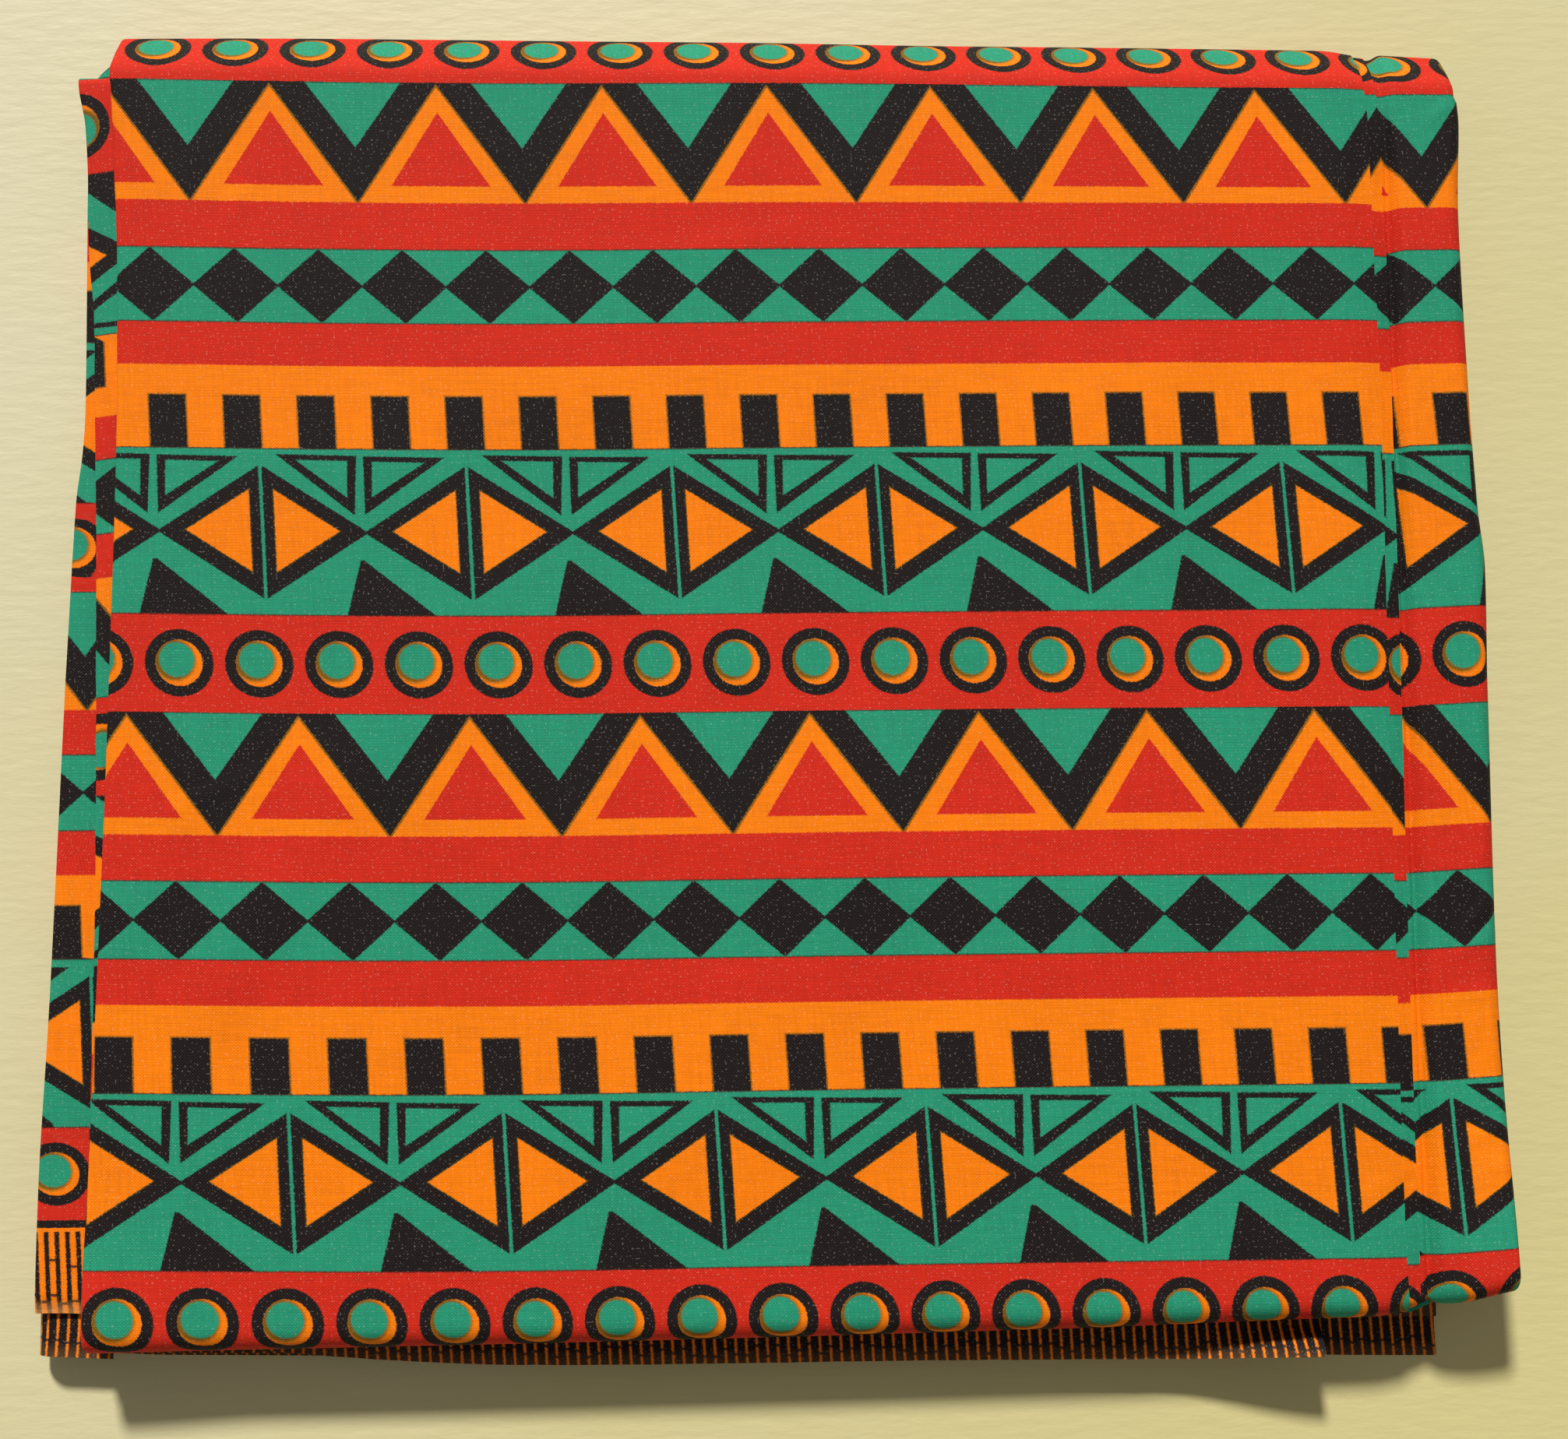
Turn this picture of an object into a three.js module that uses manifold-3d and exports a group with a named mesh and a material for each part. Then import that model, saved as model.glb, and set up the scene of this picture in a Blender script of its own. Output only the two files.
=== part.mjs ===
// A folded length of printed cotton, lying flat: millimetres, +Z up, origin at the
// middle of the underside, +X along the warp and +Y towards the far folded edge.
//
// The cloth's width is folded in four. From the top the quarters are called second,
// third, fourth and first, because the selvedges start the first and end the fourth.
// The second and third meet in the near fold, and all four in the far fold.
import * as THREE from "three";
import { mergeVertices } from "three/addons/utils/BufferGeometryUtils.js";
import Module from "manifold-3d";

const wasm = await Module();
wasm.setup();

// ---- Driving dimensions -------------------------------------------------------

const STACK = 19; // height of the bundle
const QUARTER = STACK / 4; // height of one quarter's layers
const WALL = 1.0; // a shown ply, as a wall
const GAP = 0.3; // between a ply and what it lies on
const PLY = WALL + GAP; // pitch of nested plies

const NEAR_RADIUS = QUARTER - GAP / 2; // outer radius of the near fold, round two quarters
const FAR_RADIUS = STACK / 2; // outer radius of the far fold, round all four
const TUCK = 3; // how far a ply runs back in under the near fold
const SELVEDGE_NEAR = -149.6; // where the selvedges end, just beyond the near fold
const SPREAD_RIGHT = 141; // right of this, the lower ply lies free of the upper two
const SPREAD_LENGTH = 4; // and takes this long to lift
const SPREAD_LIFT = 2; // by this much
const SPREAD_SETBACK = 1.8; // and its near fold lies back by this much

const CUT_EDGE = 137; // the cut end of the top ply
const SECOND_EDGE = 140.6; // the edge of the ply below it
const SECOND_TUCK = 110; // the second ply is shown from here
const WRAP_TUCK = 125; // and the third from here
const WRAP_ROLL = 3.4; // radius of the roll at the right-hand fold
const LEFT_RETURN = 7; // length folded back under at the left
const LEFT_CLEAR = -136.4; // the core is lower left of this, to clear that return

const THIRD_TOP = 14; // top of the third quarter's ply
const THIRD_NEAR = -134; // its near and far ends
const THIRD_FAR = 143;
const FOURTH_TOP = STACK / 2; // top of the fourth quarter's ply
const FOURTH_FAR = 141; // its far end
const STRIP_INNER = -134; // inner edge of both plies where they show at the left
const BAND_DEPTH = 22; // near to far, the selvedge band with what is tucked under
const BAND_RIGHT = 147.4; // its right end
const BAND_SLANT = 0.6; // which leans by this much

const LAYERS_A_QUARTER = 3; // folds to be seen at the core's sides, a quarter
const LAYER_BULGE = 0.9; // depth of the groove between two of them
const LAYER_STAGGER = 0.35; // how unevenly they end
const CORE_SELVEDGE_SETBACK = 1.4; // the core's layers end this far inside the selvedges

// The fold lines, seen from above. A row is a station along the edge.
const NEAR_FOLD = [
  { x: -150, y: -143.8 },
  { x: -83, y: -143.3 },
  { x: -8, y: -142.4 },
  { x: 68, y: -141.1 },
  { x: 119, y: -139.7 },
  { x: 161, y: -139.0 },
];
const FAR_FOLD = [
  { x: -160, y: 149.2 },
  { x: -69, y: 150.5 },
  { x: 3, y: 150.7 },
  { x: 74, y: 149.2 },
  { x: 136, y: 147.4 },
  { x: 161, y: 146.2 },
];
const TOP_LEFT_FOLD = [
  { y: -144, x: -148.4 },
  { y: -99, x: -147.9 },
  { y: -23, x: -146.5 },
  { y: 56, x: -145.9 },
  { y: 116, x: -148.1 },
  { y: 150, x: -149.6 },
];
const RIGHT_FOLD = [
  { y: -140, x: 161.8 },
  { y: -111, x: 160.6 },
  { y: -67, x: 159.6 },
  { y: 6, x: 160.1 },
  { y: 61, x: 158.8 },
  { y: 109, x: 158.0 },
  { y: 150, x: 158.6 },
];
const THIRD_LEFT_FOLD = [
  { y: -140, x: -149.4 },
  { y: -54, x: -149.2 },
  { y: 34, x: -151.0 },
  { y: 86, x: -152.8 },
  { y: 100, x: -155.2 },
  { y: 126, x: -155.8 },
  { y: 150, x: -157.6 },
];
const LOWER_LEFT_FOLD = [
  { y: -150, x: -161.6 },
  { y: -107, x: -161.8 },
  { y: -57, x: -160.4 },
  { y: 5, x: -158.9 },
  { y: 61, x: -156.7 },
  { y: 111, x: -156.4 },
  { y: 150, x: -156.8 },
];

// The side folds of each quarter at its far and near end, from the bottom up.
const QUARTERS = [
  { name: "first", base: 0, farLeft: -151, nearLeft: -160.8, farRight: 156, nearRight: 146.5 },
  { name: "fourth", base: 1, farLeft: -156, nearLeft: -161, farRight: 151, nearRight: 146 },
  { name: "third", base: 2, farLeft: -156.5, nearLeft: -148.4, farRight: 150, nearRight: 156 },
  { name: "second", base: 3, farLeft: -147.6, nearLeft: -146.6, farRight: 154, nearRight: 155 },
];

// The selvedges at the near side, from left to right.
const UPPER_SELVEDGE = [
  { x: -160.4, y: -136.4 },
  { x: -146, y: -137.4 },
  { x: -112, y: -144.8 },
  { x: -60, y: -148.6 },
  { x: 40, y: -149.6 },
  { x: BAND_RIGHT, y: -150.8 },
];
const LOWER_SELVEDGE = [
  { x: -159.8, y: -146.2 },
  { x: -136, y: -147.8 },
  { x: -60, y: -148.8 },
  { x: 60, y: -149.2 },
  { x: 146.5, y: -149.6 },
];
// The sides of the underside ply.
const UNDERSIDE_LEFT = [
  { y: 139.4, x: -151 },
  { y: 60, x: -154 },
  { y: -40, x: -158.6 },
  { y: -120, x: -161.7 },
  { y: -143.4, x: -161.4 },
];
const UNDERSIDE_RIGHT = [
  { y: 0, x: 153 },
  { y: 136.4, x: 156 },
];

// Soft rises of the top face: middle, half-sizes, height, and turn in degrees.
const RISES = [
  { x: -118, y: -60, along: 60, across: 9, height: 0.7, turn: 58 },
  { x: -60, y: 60, along: 80, across: 16, height: 0.4, turn: 12 },
  { x: 40, y: -40, along: 90, across: 18, height: 0.4, turn: -8 },
  { x: 95, y: 70, along: 60, across: 14, height: 0.5, turn: 24 },
  { x: -20, y: -100, along: 70, across: 12, height: 0.4, turn: 4 },
];

const RISES_WITHIN = { left: -136, right: 110, near: -136, far: 138, fade: 20 };

const COLOURS = { red: 0xd0241e, orange: 0xfa870a, green: 0x208c69, brown: 0x6b3a20 };

// ---- Helpers ------------------------------------------------------------------

// A smooth value from a table: the given column at a place along the other one.
function along(table, place, at, column) {
  const last = table.length - 1;
  if (at <= table[0][place]) return table[0][column];
  if (at >= table[last][place]) return table[last][column];
  const i = table.findIndex((row) => row[place] > at) - 1;
  const t = (at - table[i][place]) / (table[i + 1][place] - table[i][place]);
  const before = table[Math.max(i - 1, 0)][column];
  const after = table[Math.min(i + 2, last)][column];
  const [a, b] = [table[i][column], table[i + 1][column]];
  const bend = (b - before) / 2;
  const nextBend = (after - a) / 2;
  const t2 = t * t;
  const t3 = t2 * t;
  return (2 * t3 - 3 * t2 + 1) * a + (t3 - 2 * t2 + t) * bend + (3 * t2 - 2 * t3) * b + (t3 - t2) * nextBend;
}

const lerp = THREE.MathUtils.lerp;
const smooth = THREE.MathUtils.smoothstep;
const range = (count) => Array.from({ length: count }, (_, i) => i);

// How much the top face stands above flat at a place, never below it.
function rise(x, y) {
  let sum = 0;
  for (const r of RISES) {
    const turn = THREE.MathUtils.degToRad(r.turn);
    const [dx, dy] = [x - r.x, y - r.y];
    const u = (dx * Math.cos(turn) + dy * Math.sin(turn)) / r.along;
    const v = (dy * Math.cos(turn) - dx * Math.sin(turn)) / r.across;
    sum += r.height * Math.exp(-(u * u + v * v));
  }
  const across = smooth(x, RISES_WITHIN.left, RISES_WITHIN.left + RISES_WITHIN.fade);
  const toRight = smooth(x, RISES_WITHIN.right - RISES_WITHIN.fade, RISES_WITHIN.right);
  const fromNear = smooth(y, RISES_WITHIN.near, RISES_WITHIN.near + RISES_WITHIN.fade);
  const toFar = smooth(y, RISES_WITHIN.far - RISES_WITHIN.fade, RISES_WITHIN.far);
  return sum * across * (1 - toRight) * fromNear * (1 - toFar);
}

function meshOf(name, geometry, color) {
  const material = new THREE.MeshStandardMaterial({ color, roughness: 0.75, metalness: 0 });
  const mesh = new THREE.Mesh(geometry, material);
  mesh.name = name;
  return mesh;
}

// A closed solid through rings of equal count, each a closed loop of points. A ladder
// cap joins a wall's two faces rung by rung, and a fan cap meets in the ring's middle.
function solidThrough(rings, cap) {
  const count = rings[0].length;
  const points = rings.flat();
  const faces = [];
  for (const r of range(rings.length - 1)) {
    for (const i of range(count)) {
      const j = (i + 1) % count;
      const [a, b, c, d] = [r * count + i, r * count + j, (r + 1) * count + j, (r + 1) * count + i];
      faces.push([a, b, c], [a, c, d]);
    }
  }
  const ladder = (first) =>
    range(count / 2 - 1).flatMap((k) => {
      const [a, b, c, d] = [first + k, first + k + 1, first + count - 2 - k, first + count - 1 - k];
      return [
        [a, b, c],
        [a, c, d],
      ];
    });
  const fan = (first) => {
    const ring = points.slice(first, first + count);
    const middle = points.push([0, 1, 2].map((k) => ring.reduce((sum, p) => sum + p[k], 0) / count)) - 1;
    return range(count).map((i) => [first + i, first + ((i + 1) % count), middle]);
  };
  const caps = { ladder, fan };
  const lastRing = (rings.length - 1) * count;
  faces.push(...caps[cap](0).map(([a, b, c]) => [a, c, b]), ...caps[cap](lastRing));
  let volume = 0;
  for (const [a, b, c] of faces) {
    const cross = new THREE.Vector3(...points[b]).cross(new THREE.Vector3(...points[c]));
    volume += new THREE.Vector3(...points[a]).dot(cross);
  }
  const outward = volume > 0 ? faces : faces.map(([a, b, c]) => [a, c, b]);
  const geometry = new THREE.BufferGeometry();
  geometry.setAttribute("position", new THREE.Float32BufferAttribute(points.flat(), 3));
  geometry.setIndex(outward.flat());
  return geometry;
}

// The base geometry with every cutter taken away.
function cutAway(base, cutters) {
  const asManifold = (geometry) => {
    const bare = new THREE.BufferGeometry();
    bare.setAttribute("position", geometry.getAttribute("position"));
    if (geometry.index) bare.setIndex(geometry.index);
    const merged = mergeVertices(bare, 1e-4);
    return new wasm.Manifold(
      new wasm.Mesh({
        numProp: 3,
        vertProperties: merged.attributes.position.array,
        triVerts: new Uint32Array(merged.index.array),
      }),
    );
  };
  const cut = cutters.reduce((solid, cutter) => solid.subtract(asManifold(cutter)), asManifold(base));
  const { numProp, vertProperties, triVerts } = cut.getMesh();
  const geometry = new THREE.BufferGeometry();
  const position = new Float32Array((vertProperties.length / numProp) * 3);
  for (const i of range(position.length / 3)) {
    position.set(vertProperties.subarray(i * numProp, i * numProp + 3), i * 3);
  }
  geometry.setAttribute("position", new THREE.BufferAttribute(position, 3));
  geometry.setIndex(Array.from(triVerts));
  return geometry;
}

// ---- The fold that the upper plies follow ---------------------------------------

// Stations from under the near fold, round it, over the top and down the far fold.
const NEAR_STEPS = 8;
const TOP_STEPS = 14;
const FAR_STEPS = 10;
const STATIONS = [
  { on: "tuck", run: TUCK },
  ...range(NEAR_STEPS).map((i) => ({ on: "near", t: i / NEAR_STEPS })),
  ...range(TOP_STEPS).map((i) => ({ on: "top", t: i / TOP_STEPS })),
  ...range(FAR_STEPS + 1).map((i) => ({ on: "far", t: i / FAR_STEPS })),
];
// A clearance runs on a little at both ends.
const OVERRUN = 1.5;
const CLEARANCE_STATIONS = [
  { on: "tuck", run: TUCK + OVERRUN },
  ...STATIONS.slice(1),
  { on: "under", run: OVERRUN },
];

// Right of the spread line the ply lies free: how far along that change a place is.
const spreadAt = (x) => smooth(x, SPREAD_RIGHT, SPREAD_RIGHT + SPREAD_LENGTH);

// Where a point lies that is at a station, at x, and this deep below the outer face.
function foldPoint(station, x, depth) {
  const near = along(NEAR_FOLD, "x", x, "y") + NEAR_RADIUS + SPREAD_SETBACK * spreadAt(x);
  const far = along(FAR_FOLD, "x", x, "y") - FAR_RADIUS;
  const nearHeight = STACK - NEAR_RADIUS;
  if (station.on === "tuck") return [x, near + station.run, nearHeight - NEAR_RADIUS + depth];
  if (station.on === "under") return [x, far - station.run, depth];
  if (station.on === "near") {
    const angle = Math.PI * (station.t - 0.5);
    const radius = NEAR_RADIUS - depth;
    return [x, near - radius * Math.cos(angle), nearHeight + radius * Math.sin(angle)];
  }
  if (station.on === "top") {
    const y = lerp(near, far, station.t);
    return [x, y, STACK - depth + rise(x, y)];
  }
  const angle = Math.PI * (0.5 - station.t);
  const radius = FAR_RADIUS - depth;
  return [x, far + radius * Math.cos(angle), FAR_RADIUS + radius * Math.sin(angle)];
}

// About how far along Y a station is, for the tables of side edges.
const ROUGH_Y = { topNear: -138, topFar: 140, tuck: -143, near: -143, far: 146, under: 146 };
const roughY = ({ on, t }) => (on === "top" ? lerp(ROUGH_Y.topNear, ROUGH_Y.topFar, t) : ROUGH_Y[on]);

// A solid whose section is swept along the fold. section(y) gives its closed loop as
// { x, depth } points.
function sweepAlongFold(section, stations = STATIONS) {
  const rings = stations.map((station) =>
    section(roughY(station)).map(({ x, depth }) => foldPoint(station, x, depth)),
  );
  return solidThrough(rings, "ladder");
}

// The same for a ply between two depths, cut square at both sides.
const squareSection = (left, right, top, bottom, steps) => [
  ...range(steps + 1).map((i) => ({ x: lerp(left, right, i / steps), depth: top })),
  ...range(steps + 1).map((i) => ({ x: lerp(right, left, i / steps), depth: bottom })),
];

// ---- Top ply ---------------------------------------------------------------------

// Cut at the right, folded back under itself at the left.
function topPly() {
  const steps = 16;
  const bends = 6;
  const outer = (PLY + WALL) / 2; // outer radius of the left fold
  const inner = GAP / 2;
  return sweepAlongFold((y) => {
    const left = along(TOP_LEFT_FOLD, "y", y, "x") + outer;
    const back = left + LEFT_RETURN;
    const bend = (radius, from, to) =>
      range(bends + 1).map((i) => {
        const angle = lerp(from, to, i / bends);
        return { x: left - radius * Math.cos(angle), depth: outer - radius * Math.sin(angle) };
      });
    return [
      ...range(steps).map((i) => ({ x: lerp(CUT_EDGE, left, i / steps), depth: 0 })),
      ...bend(outer, Math.PI / 2, -Math.PI / 2),
      { x: back, depth: PLY + WALL },
      { x: back, depth: PLY },
      ...bend(inner, -Math.PI / 2, Math.PI / 2),
      ...range(steps).map((i) => ({ x: lerp(left, CUT_EDGE, (i + 1) / steps), depth: WALL })),
    ];
  });
}

// ---- Second ply ---------------------------------------------------------------------

function secondPly() {
  return sweepAlongFold(() => squareSection(SECOND_TUCK, SECOND_EDGE, PLY, PLY + WALL, 3));
}

// ---- Right wrap ---------------------------------------------------------------------

// It comes out from under the second ply, lifts, and rolls over the right-hand fold.
function rightWrap() {
  const deep = 2 * PLY;
  const shallow = deep - SPREAD_LIFT;
  const bends = 6;
  return sweepAlongFold((y) => {
    const turn = along(RIGHT_FOLD, "y", y, "x") - WRAP_ROLL;
    const flat = [
      WRAP_TUCK,
      lerp(WRAP_TUCK, SPREAD_RIGHT, 0.5),
      SPREAD_RIGHT,
      ...range(4).map((i) => SPREAD_RIGHT + ((i + 1) / 4) * SPREAD_LENGTH),
    ];
    const top = flat.map((x) => ({ x, depth: lerp(deep, shallow, spreadAt(x)) }));
    const roll = (radius) =>
      range(bends + 1).map((i) => {
        const angle = (i / bends) * (Math.PI / 2);
        return {
          x: turn + radius * Math.sin(angle),
          depth: shallow + WRAP_ROLL - radius * Math.cos(angle),
        };
      });
    const under = top.map(({ x, depth }) => ({ x, depth: depth + WALL }));
    return [...top, ...roll(WRAP_ROLL), ...roll(WRAP_ROLL - WALL).reverse(), ...under.reverse()];
  });
}

// ---- Flat plies: left strips, selvedge band and underside ---------------------------

// A ply cut flat to an outline of [x, y] corners, its top at a given height.
function flatPly(outline, top) {
  const shape = new THREE.Shape(outline.map(([x, y]) => new THREE.Vector2(x, y)));
  const geometry = new THREE.ExtrudeGeometry(shape, { depth: WALL, bevelEnabled: false, steps: 1 });
  return geometry.translate(0, 0, top - WALL);
}

// Points down an edge table that gives x, from one y to another.
const downEdge = (table, fromY, toY, steps) =>
  range(steps + 1).map((i) => {
    const y = lerp(fromY, toY, i / steps);
    return [along(table, "y", y, "x"), y];
  });

const SIDE_STEPS = 24;
const corners = (table) => table.map(({ x, y }) => [x, y]);

function thirdPly() {
  const edge = downEdge(THIRD_LEFT_FOLD, THIRD_FAR, THIRD_NEAR, SIDE_STEPS);
  return flatPly([[STRIP_INNER, THIRD_FAR], ...edge, [STRIP_INNER, THIRD_NEAR]], THIRD_TOP);
}

function upperSelvedgePly() {
  const edge = downEdge(LOWER_LEFT_FOLD, FOURTH_FAR, UPPER_SELVEDGE[0].y + 1, SIDE_STEPS);
  const band = SELVEDGE_NEAR + BAND_DEPTH;
  const inner = [
    [BAND_RIGHT + BAND_SLANT, band],
    [STRIP_INNER, band],
  ];
  return flatPly([[STRIP_INNER, FOURTH_FAR], ...edge, ...corners(UPPER_SELVEDGE), ...inner], FOURTH_TOP);
}

function lowerSelvedgePly() {
  const far = FAR_FOLD.slice(1, -1)
    .reverse()
    .map(({ x, y }) => [x, y - FAR_RADIUS - GAP]);
  const sides = [...corners(LOWER_SELVEDGE), ...corners(UNDERSIDE_RIGHT)];
  return flatPly([...corners(UNDERSIDE_LEFT), ...sides, ...far], WALL);
}

// ---- Core of hidden layers ------------------------------------------------------------

// How far a side stands out at a height: each layer bulges between two grooves, and
// no two layers end in quite the same place.
function layerBulge(height, seed) {
  const layer = (height / QUARTER) * LAYERS_A_QUARTER;
  const phase = layer - Math.floor(layer);
  const bulge = Math.sqrt(Math.max(0, 1 - (2 * phase - 1) ** 2)) - 1;
  return LAYER_BULGE * bulge + LAYER_STAGGER * Math.sin(5 * Math.floor(layer) + seed);
}

// The outline of the core at a height, as a closed loop.
function coreRing(height) {
  const quarter = QUARTERS[Math.min(3, Math.floor(height / QUARTER))];
  const sideX = (side, y) => {
    const t = smooth(y, ROUGH_Y.near, ROUGH_Y.far);
    const bulge = layerBulge(height, side === "Left" ? 0 : 2);
    const x = lerp(quarter["near" + side], quarter["far" + side], t);
    return side === "Left" ? x - bulge : x + bulge;
  };
  const nearAt = (x) => {
    const selvedge = along(quarter.base === 0 ? LOWER_SELVEDGE : UPPER_SELVEDGE, "x", x, "y");
    if (quarter.base < 2) return selvedge + CORE_SELVEDGE_SETBACK - layerBulge(height, 1);
    const centre = along(NEAR_FOLD, "x", x, "y") + NEAR_RADIUS;
    const up = height - (STACK - NEAR_RADIUS);
    const radius = NEAR_RADIUS - PLY;
    return Math.abs(up) <= radius ? centre - Math.sqrt(radius ** 2 - up ** 2) : centre + TUCK + GAP;
  };
  const farAt = (x) => {
    const reach = Math.sqrt((FAR_RADIUS - PLY) ** 2 - (height - FAR_RADIUS) ** 2);
    return along(FAR_FOLD, "x", x, "y") - FAR_RADIUS + (reach || 0);
  };
  const [steps, sideSteps] = [14, 12];
  const ends = { Left: {}, Right: {} };
  for (const side of ["Left", "Right"]) {
    ends[side].nearX = sideX(side, ROUGH_Y.near);
    ends[side].farX = sideX(side, ROUGH_Y.far);
  }
  const near = range(steps).map((i) => {
    const x = lerp(ends.Left.nearX, ends.Right.nearX, i / steps);
    return [x, nearAt(x)];
  });
  const far = range(steps).map((i) => {
    const x = lerp(ends.Right.farX, ends.Left.farX, i / steps);
    return [x, farAt(x)];
  });
  const sideRun = (side, from, to) =>
    range(sideSteps).map((i) => {
      const y = lerp(from, to, i / sideSteps);
      return [sideX(side, y), y];
    });
  const right = sideRun("Right", nearAt(ends.Right.nearX), farAt(ends.Right.farX));
  const left = sideRun("Left", farAt(ends.Left.farX), nearAt(ends.Left.nearX));
  return [...near, ...right, ...far, ...left].map(([x, y]) => [x, y, height]);
}

function foldedCore() {
  const [bottom, top] = [PLY, STACK - PLY];
  const [pitch, least] = [QUARTER / LAYERS_A_QUARTER, 0.1];
  const layers = range(4 * LAYERS_A_QUARTER);
  const grooved = layers.flatMap((layer) => [0.04, 0.3, 0.7, 0.96].map((part) => (layer + part) * pitch));
  const between = grooved.filter((height) => height > bottom + least && height < top - least);
  const body = solidThrough([bottom, ...between, top].map(coreRing), "fan");

  const beyond = 175; // past every side
  const above = -3; // a depth above the outer face
  const clearOf = (left, right, depth) =>
    sweepAlongFold(() => squareSection(left, right, above, depth, 12), CLEARANCE_STATIONS);
  const slot = (right, far, plyTop) => {
    const [wide, deep] = [right + beyond, far + beyond];
    const box = new THREE.BoxGeometry(wide, deep, WALL + 2 * GAP);
    return box.translate(right - wide / 2, far - deep / 2, plyTop - WALL / 2);
  };
  return cutAway(body, [
    clearOf(SECOND_TUCK - GAP, beyond, 2 * PLY),
    clearOf(WRAP_TUCK - GAP, beyond, 3 * PLY),
    clearOf(-beyond, LEFT_CLEAR, 2 * PLY),
    slot(STRIP_INNER + GAP, beyond, THIRD_TOP),
    slot(STRIP_INNER + GAP, beyond, FOURTH_TOP),
    slot(beyond, SELVEDGE_NEAR + BAND_DEPTH + GAP, FOURTH_TOP),
  ]);
}

// ---- The bundle ---------------------------------------------------------------------

const bundle = new THREE.Group();
bundle.add(
  meshOf("top_ply", topPly(), COLOURS.red),
  meshOf("second_ply", secondPly(), COLOURS.orange),
  meshOf("right_wrap", rightWrap(), COLOURS.green),
  meshOf("third_ply", thirdPly(), COLOURS.orange),
  meshOf("upper_selvedge_ply", upperSelvedgePly(), COLOURS.brown),
  meshOf("lower_selvedge_ply", lowerSelvedgePly(), COLOURS.brown),
  meshOf("folded_core", foldedCore(), COLOURS.green),
);

export default bundle;
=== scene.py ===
# %% [markdown]
# # A folded length of wax print cotton
#
# The real thing is one long piece of thin printed cotton, laid in many layers and
# then folded in four across its width. Nothing is sewn. What the eye sees is the top
# ply, a few ply edges that peep out at the sides, the striped selvedge under the near
# fold, and the fine stack of folds at the ends.
#
# The solid model gives the size and place of each ply. Here every ply becomes a thin
# sheet with its print, and the hidden layers become one block with fine folds.

# %% Load the fixed frame
import math

import bmesh
import bpy
from mathutils import Matrix, Vector, noise


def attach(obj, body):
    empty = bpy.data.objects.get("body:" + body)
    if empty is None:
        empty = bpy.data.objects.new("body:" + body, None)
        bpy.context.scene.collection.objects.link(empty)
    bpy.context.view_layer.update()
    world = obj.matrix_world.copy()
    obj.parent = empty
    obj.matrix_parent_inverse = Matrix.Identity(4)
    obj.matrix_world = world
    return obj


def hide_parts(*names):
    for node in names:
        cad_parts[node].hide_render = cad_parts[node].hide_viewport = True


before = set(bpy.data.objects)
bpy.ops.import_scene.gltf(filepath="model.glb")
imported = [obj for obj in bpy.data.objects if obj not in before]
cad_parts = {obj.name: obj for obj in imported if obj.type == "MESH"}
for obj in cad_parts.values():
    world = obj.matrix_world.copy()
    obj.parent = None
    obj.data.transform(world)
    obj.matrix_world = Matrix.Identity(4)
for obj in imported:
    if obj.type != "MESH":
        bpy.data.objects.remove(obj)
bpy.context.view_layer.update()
bpy.ops.object.select_all(action="DESELECT")
MM = 0.001  # the frame is in metres, and the cloth is thought of in millimetres
print("nodes:", sorted(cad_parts))

# %% [markdown]
# ## The fold lines
#
# A folded bundle is never square: each fold line wanders by a few millimetres. Every
# line is a short table of stations, and a smooth curve is read from it. That is how a
# maker would mark the real bundle, with a ruler laid along each edge.

# %% The fold lines, in millimetres
STACK = 19.0  # height of the bundle
PLY_PITCH = 1.3  # from one shown ply to the next
NEAR_RADIUS = 4.6  # of the near fold, round two quarters of the width
FAR_REACH = 12.2  # from the end of the top face to the line of the far fold
CLOTH = 0.3  # thickness of the cloth

# Folds and selvedges along the near and far side give y at x; the rest give x at y.
NEAR_FOLD = [(-150, -143.8), (-83, -143.3), (-8, -142.4), (68, -141.1), (119, -139.7),
             (161, -139.0)]
FAR_FOLD = [(-160, 151.0), (-134, 151.2), (-110, 151.2), (-86, 151.0), (-47, 150.6),
            (-2, 150.2), (38, 149.5), (77, 149.1), (124, 148.5), (136, 148.2), (161, 147.0)]
TOP_LEFT = [(-144, -148.3), (-126, -148.4), (-99, -147.8), (-60, -147.1), (-23, -146.4),
            (56, -145.8), (100, -146.7), (116, -147.7), (150, -149.6)]
RIGHT_FOLD = [(-140, 160.5), (-111, 160.3), (-67, 159.6), (0, 160.3), (26, 160.8), (38, 159.8),
              (60, 158.9), (109, 158.1), (133, 158.8), (141, 158.2), (150, 157.6)]
THIRD_LEFT = [(-140, -149.4), (-54, -149.2), (34, -151.0), (86, -152.8), (100, -154.3),
              (118, -155.0), (130, -155.9), (137, -157.4), (150, -158.6)]
LOWER_LEFT = [(-150, -161.5), (-107, -161.3), (-72, -160.1), (-40, -159.3), (2, -158.4),
              (29, -157.6), (44, -157.0), (54, -155.9), (64, -155.5), (88, -155.8),
              (111, -156.2), (150, -156.6)]
CUT_EDGE = [(-140, 136.7), (-121, 136.4), (-70, 136.6), (12, 137.3), (71, 137.9), (98, 137.5),
            (134, 137.2), (150, 136.3)]
SECOND_EDGE = [(-140, 139.6), (-60, 139.8), (10, 140.5), (90, 140.8), (120, 140.3),
               (150, 139.3)]
UPPER_SELVEDGE = [(-160.4, -136.4), (-146, -137.4), (-112, -144.8), (-60, -148.5), (40, -148.7),
                  (147.4, -149.4)]
LOWER_SELVEDGE = [(-159.8, -145.8), (-136, -147.0), (-60, -148.2), (60, -148.8),
                  (146.5, -150.4)]


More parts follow.
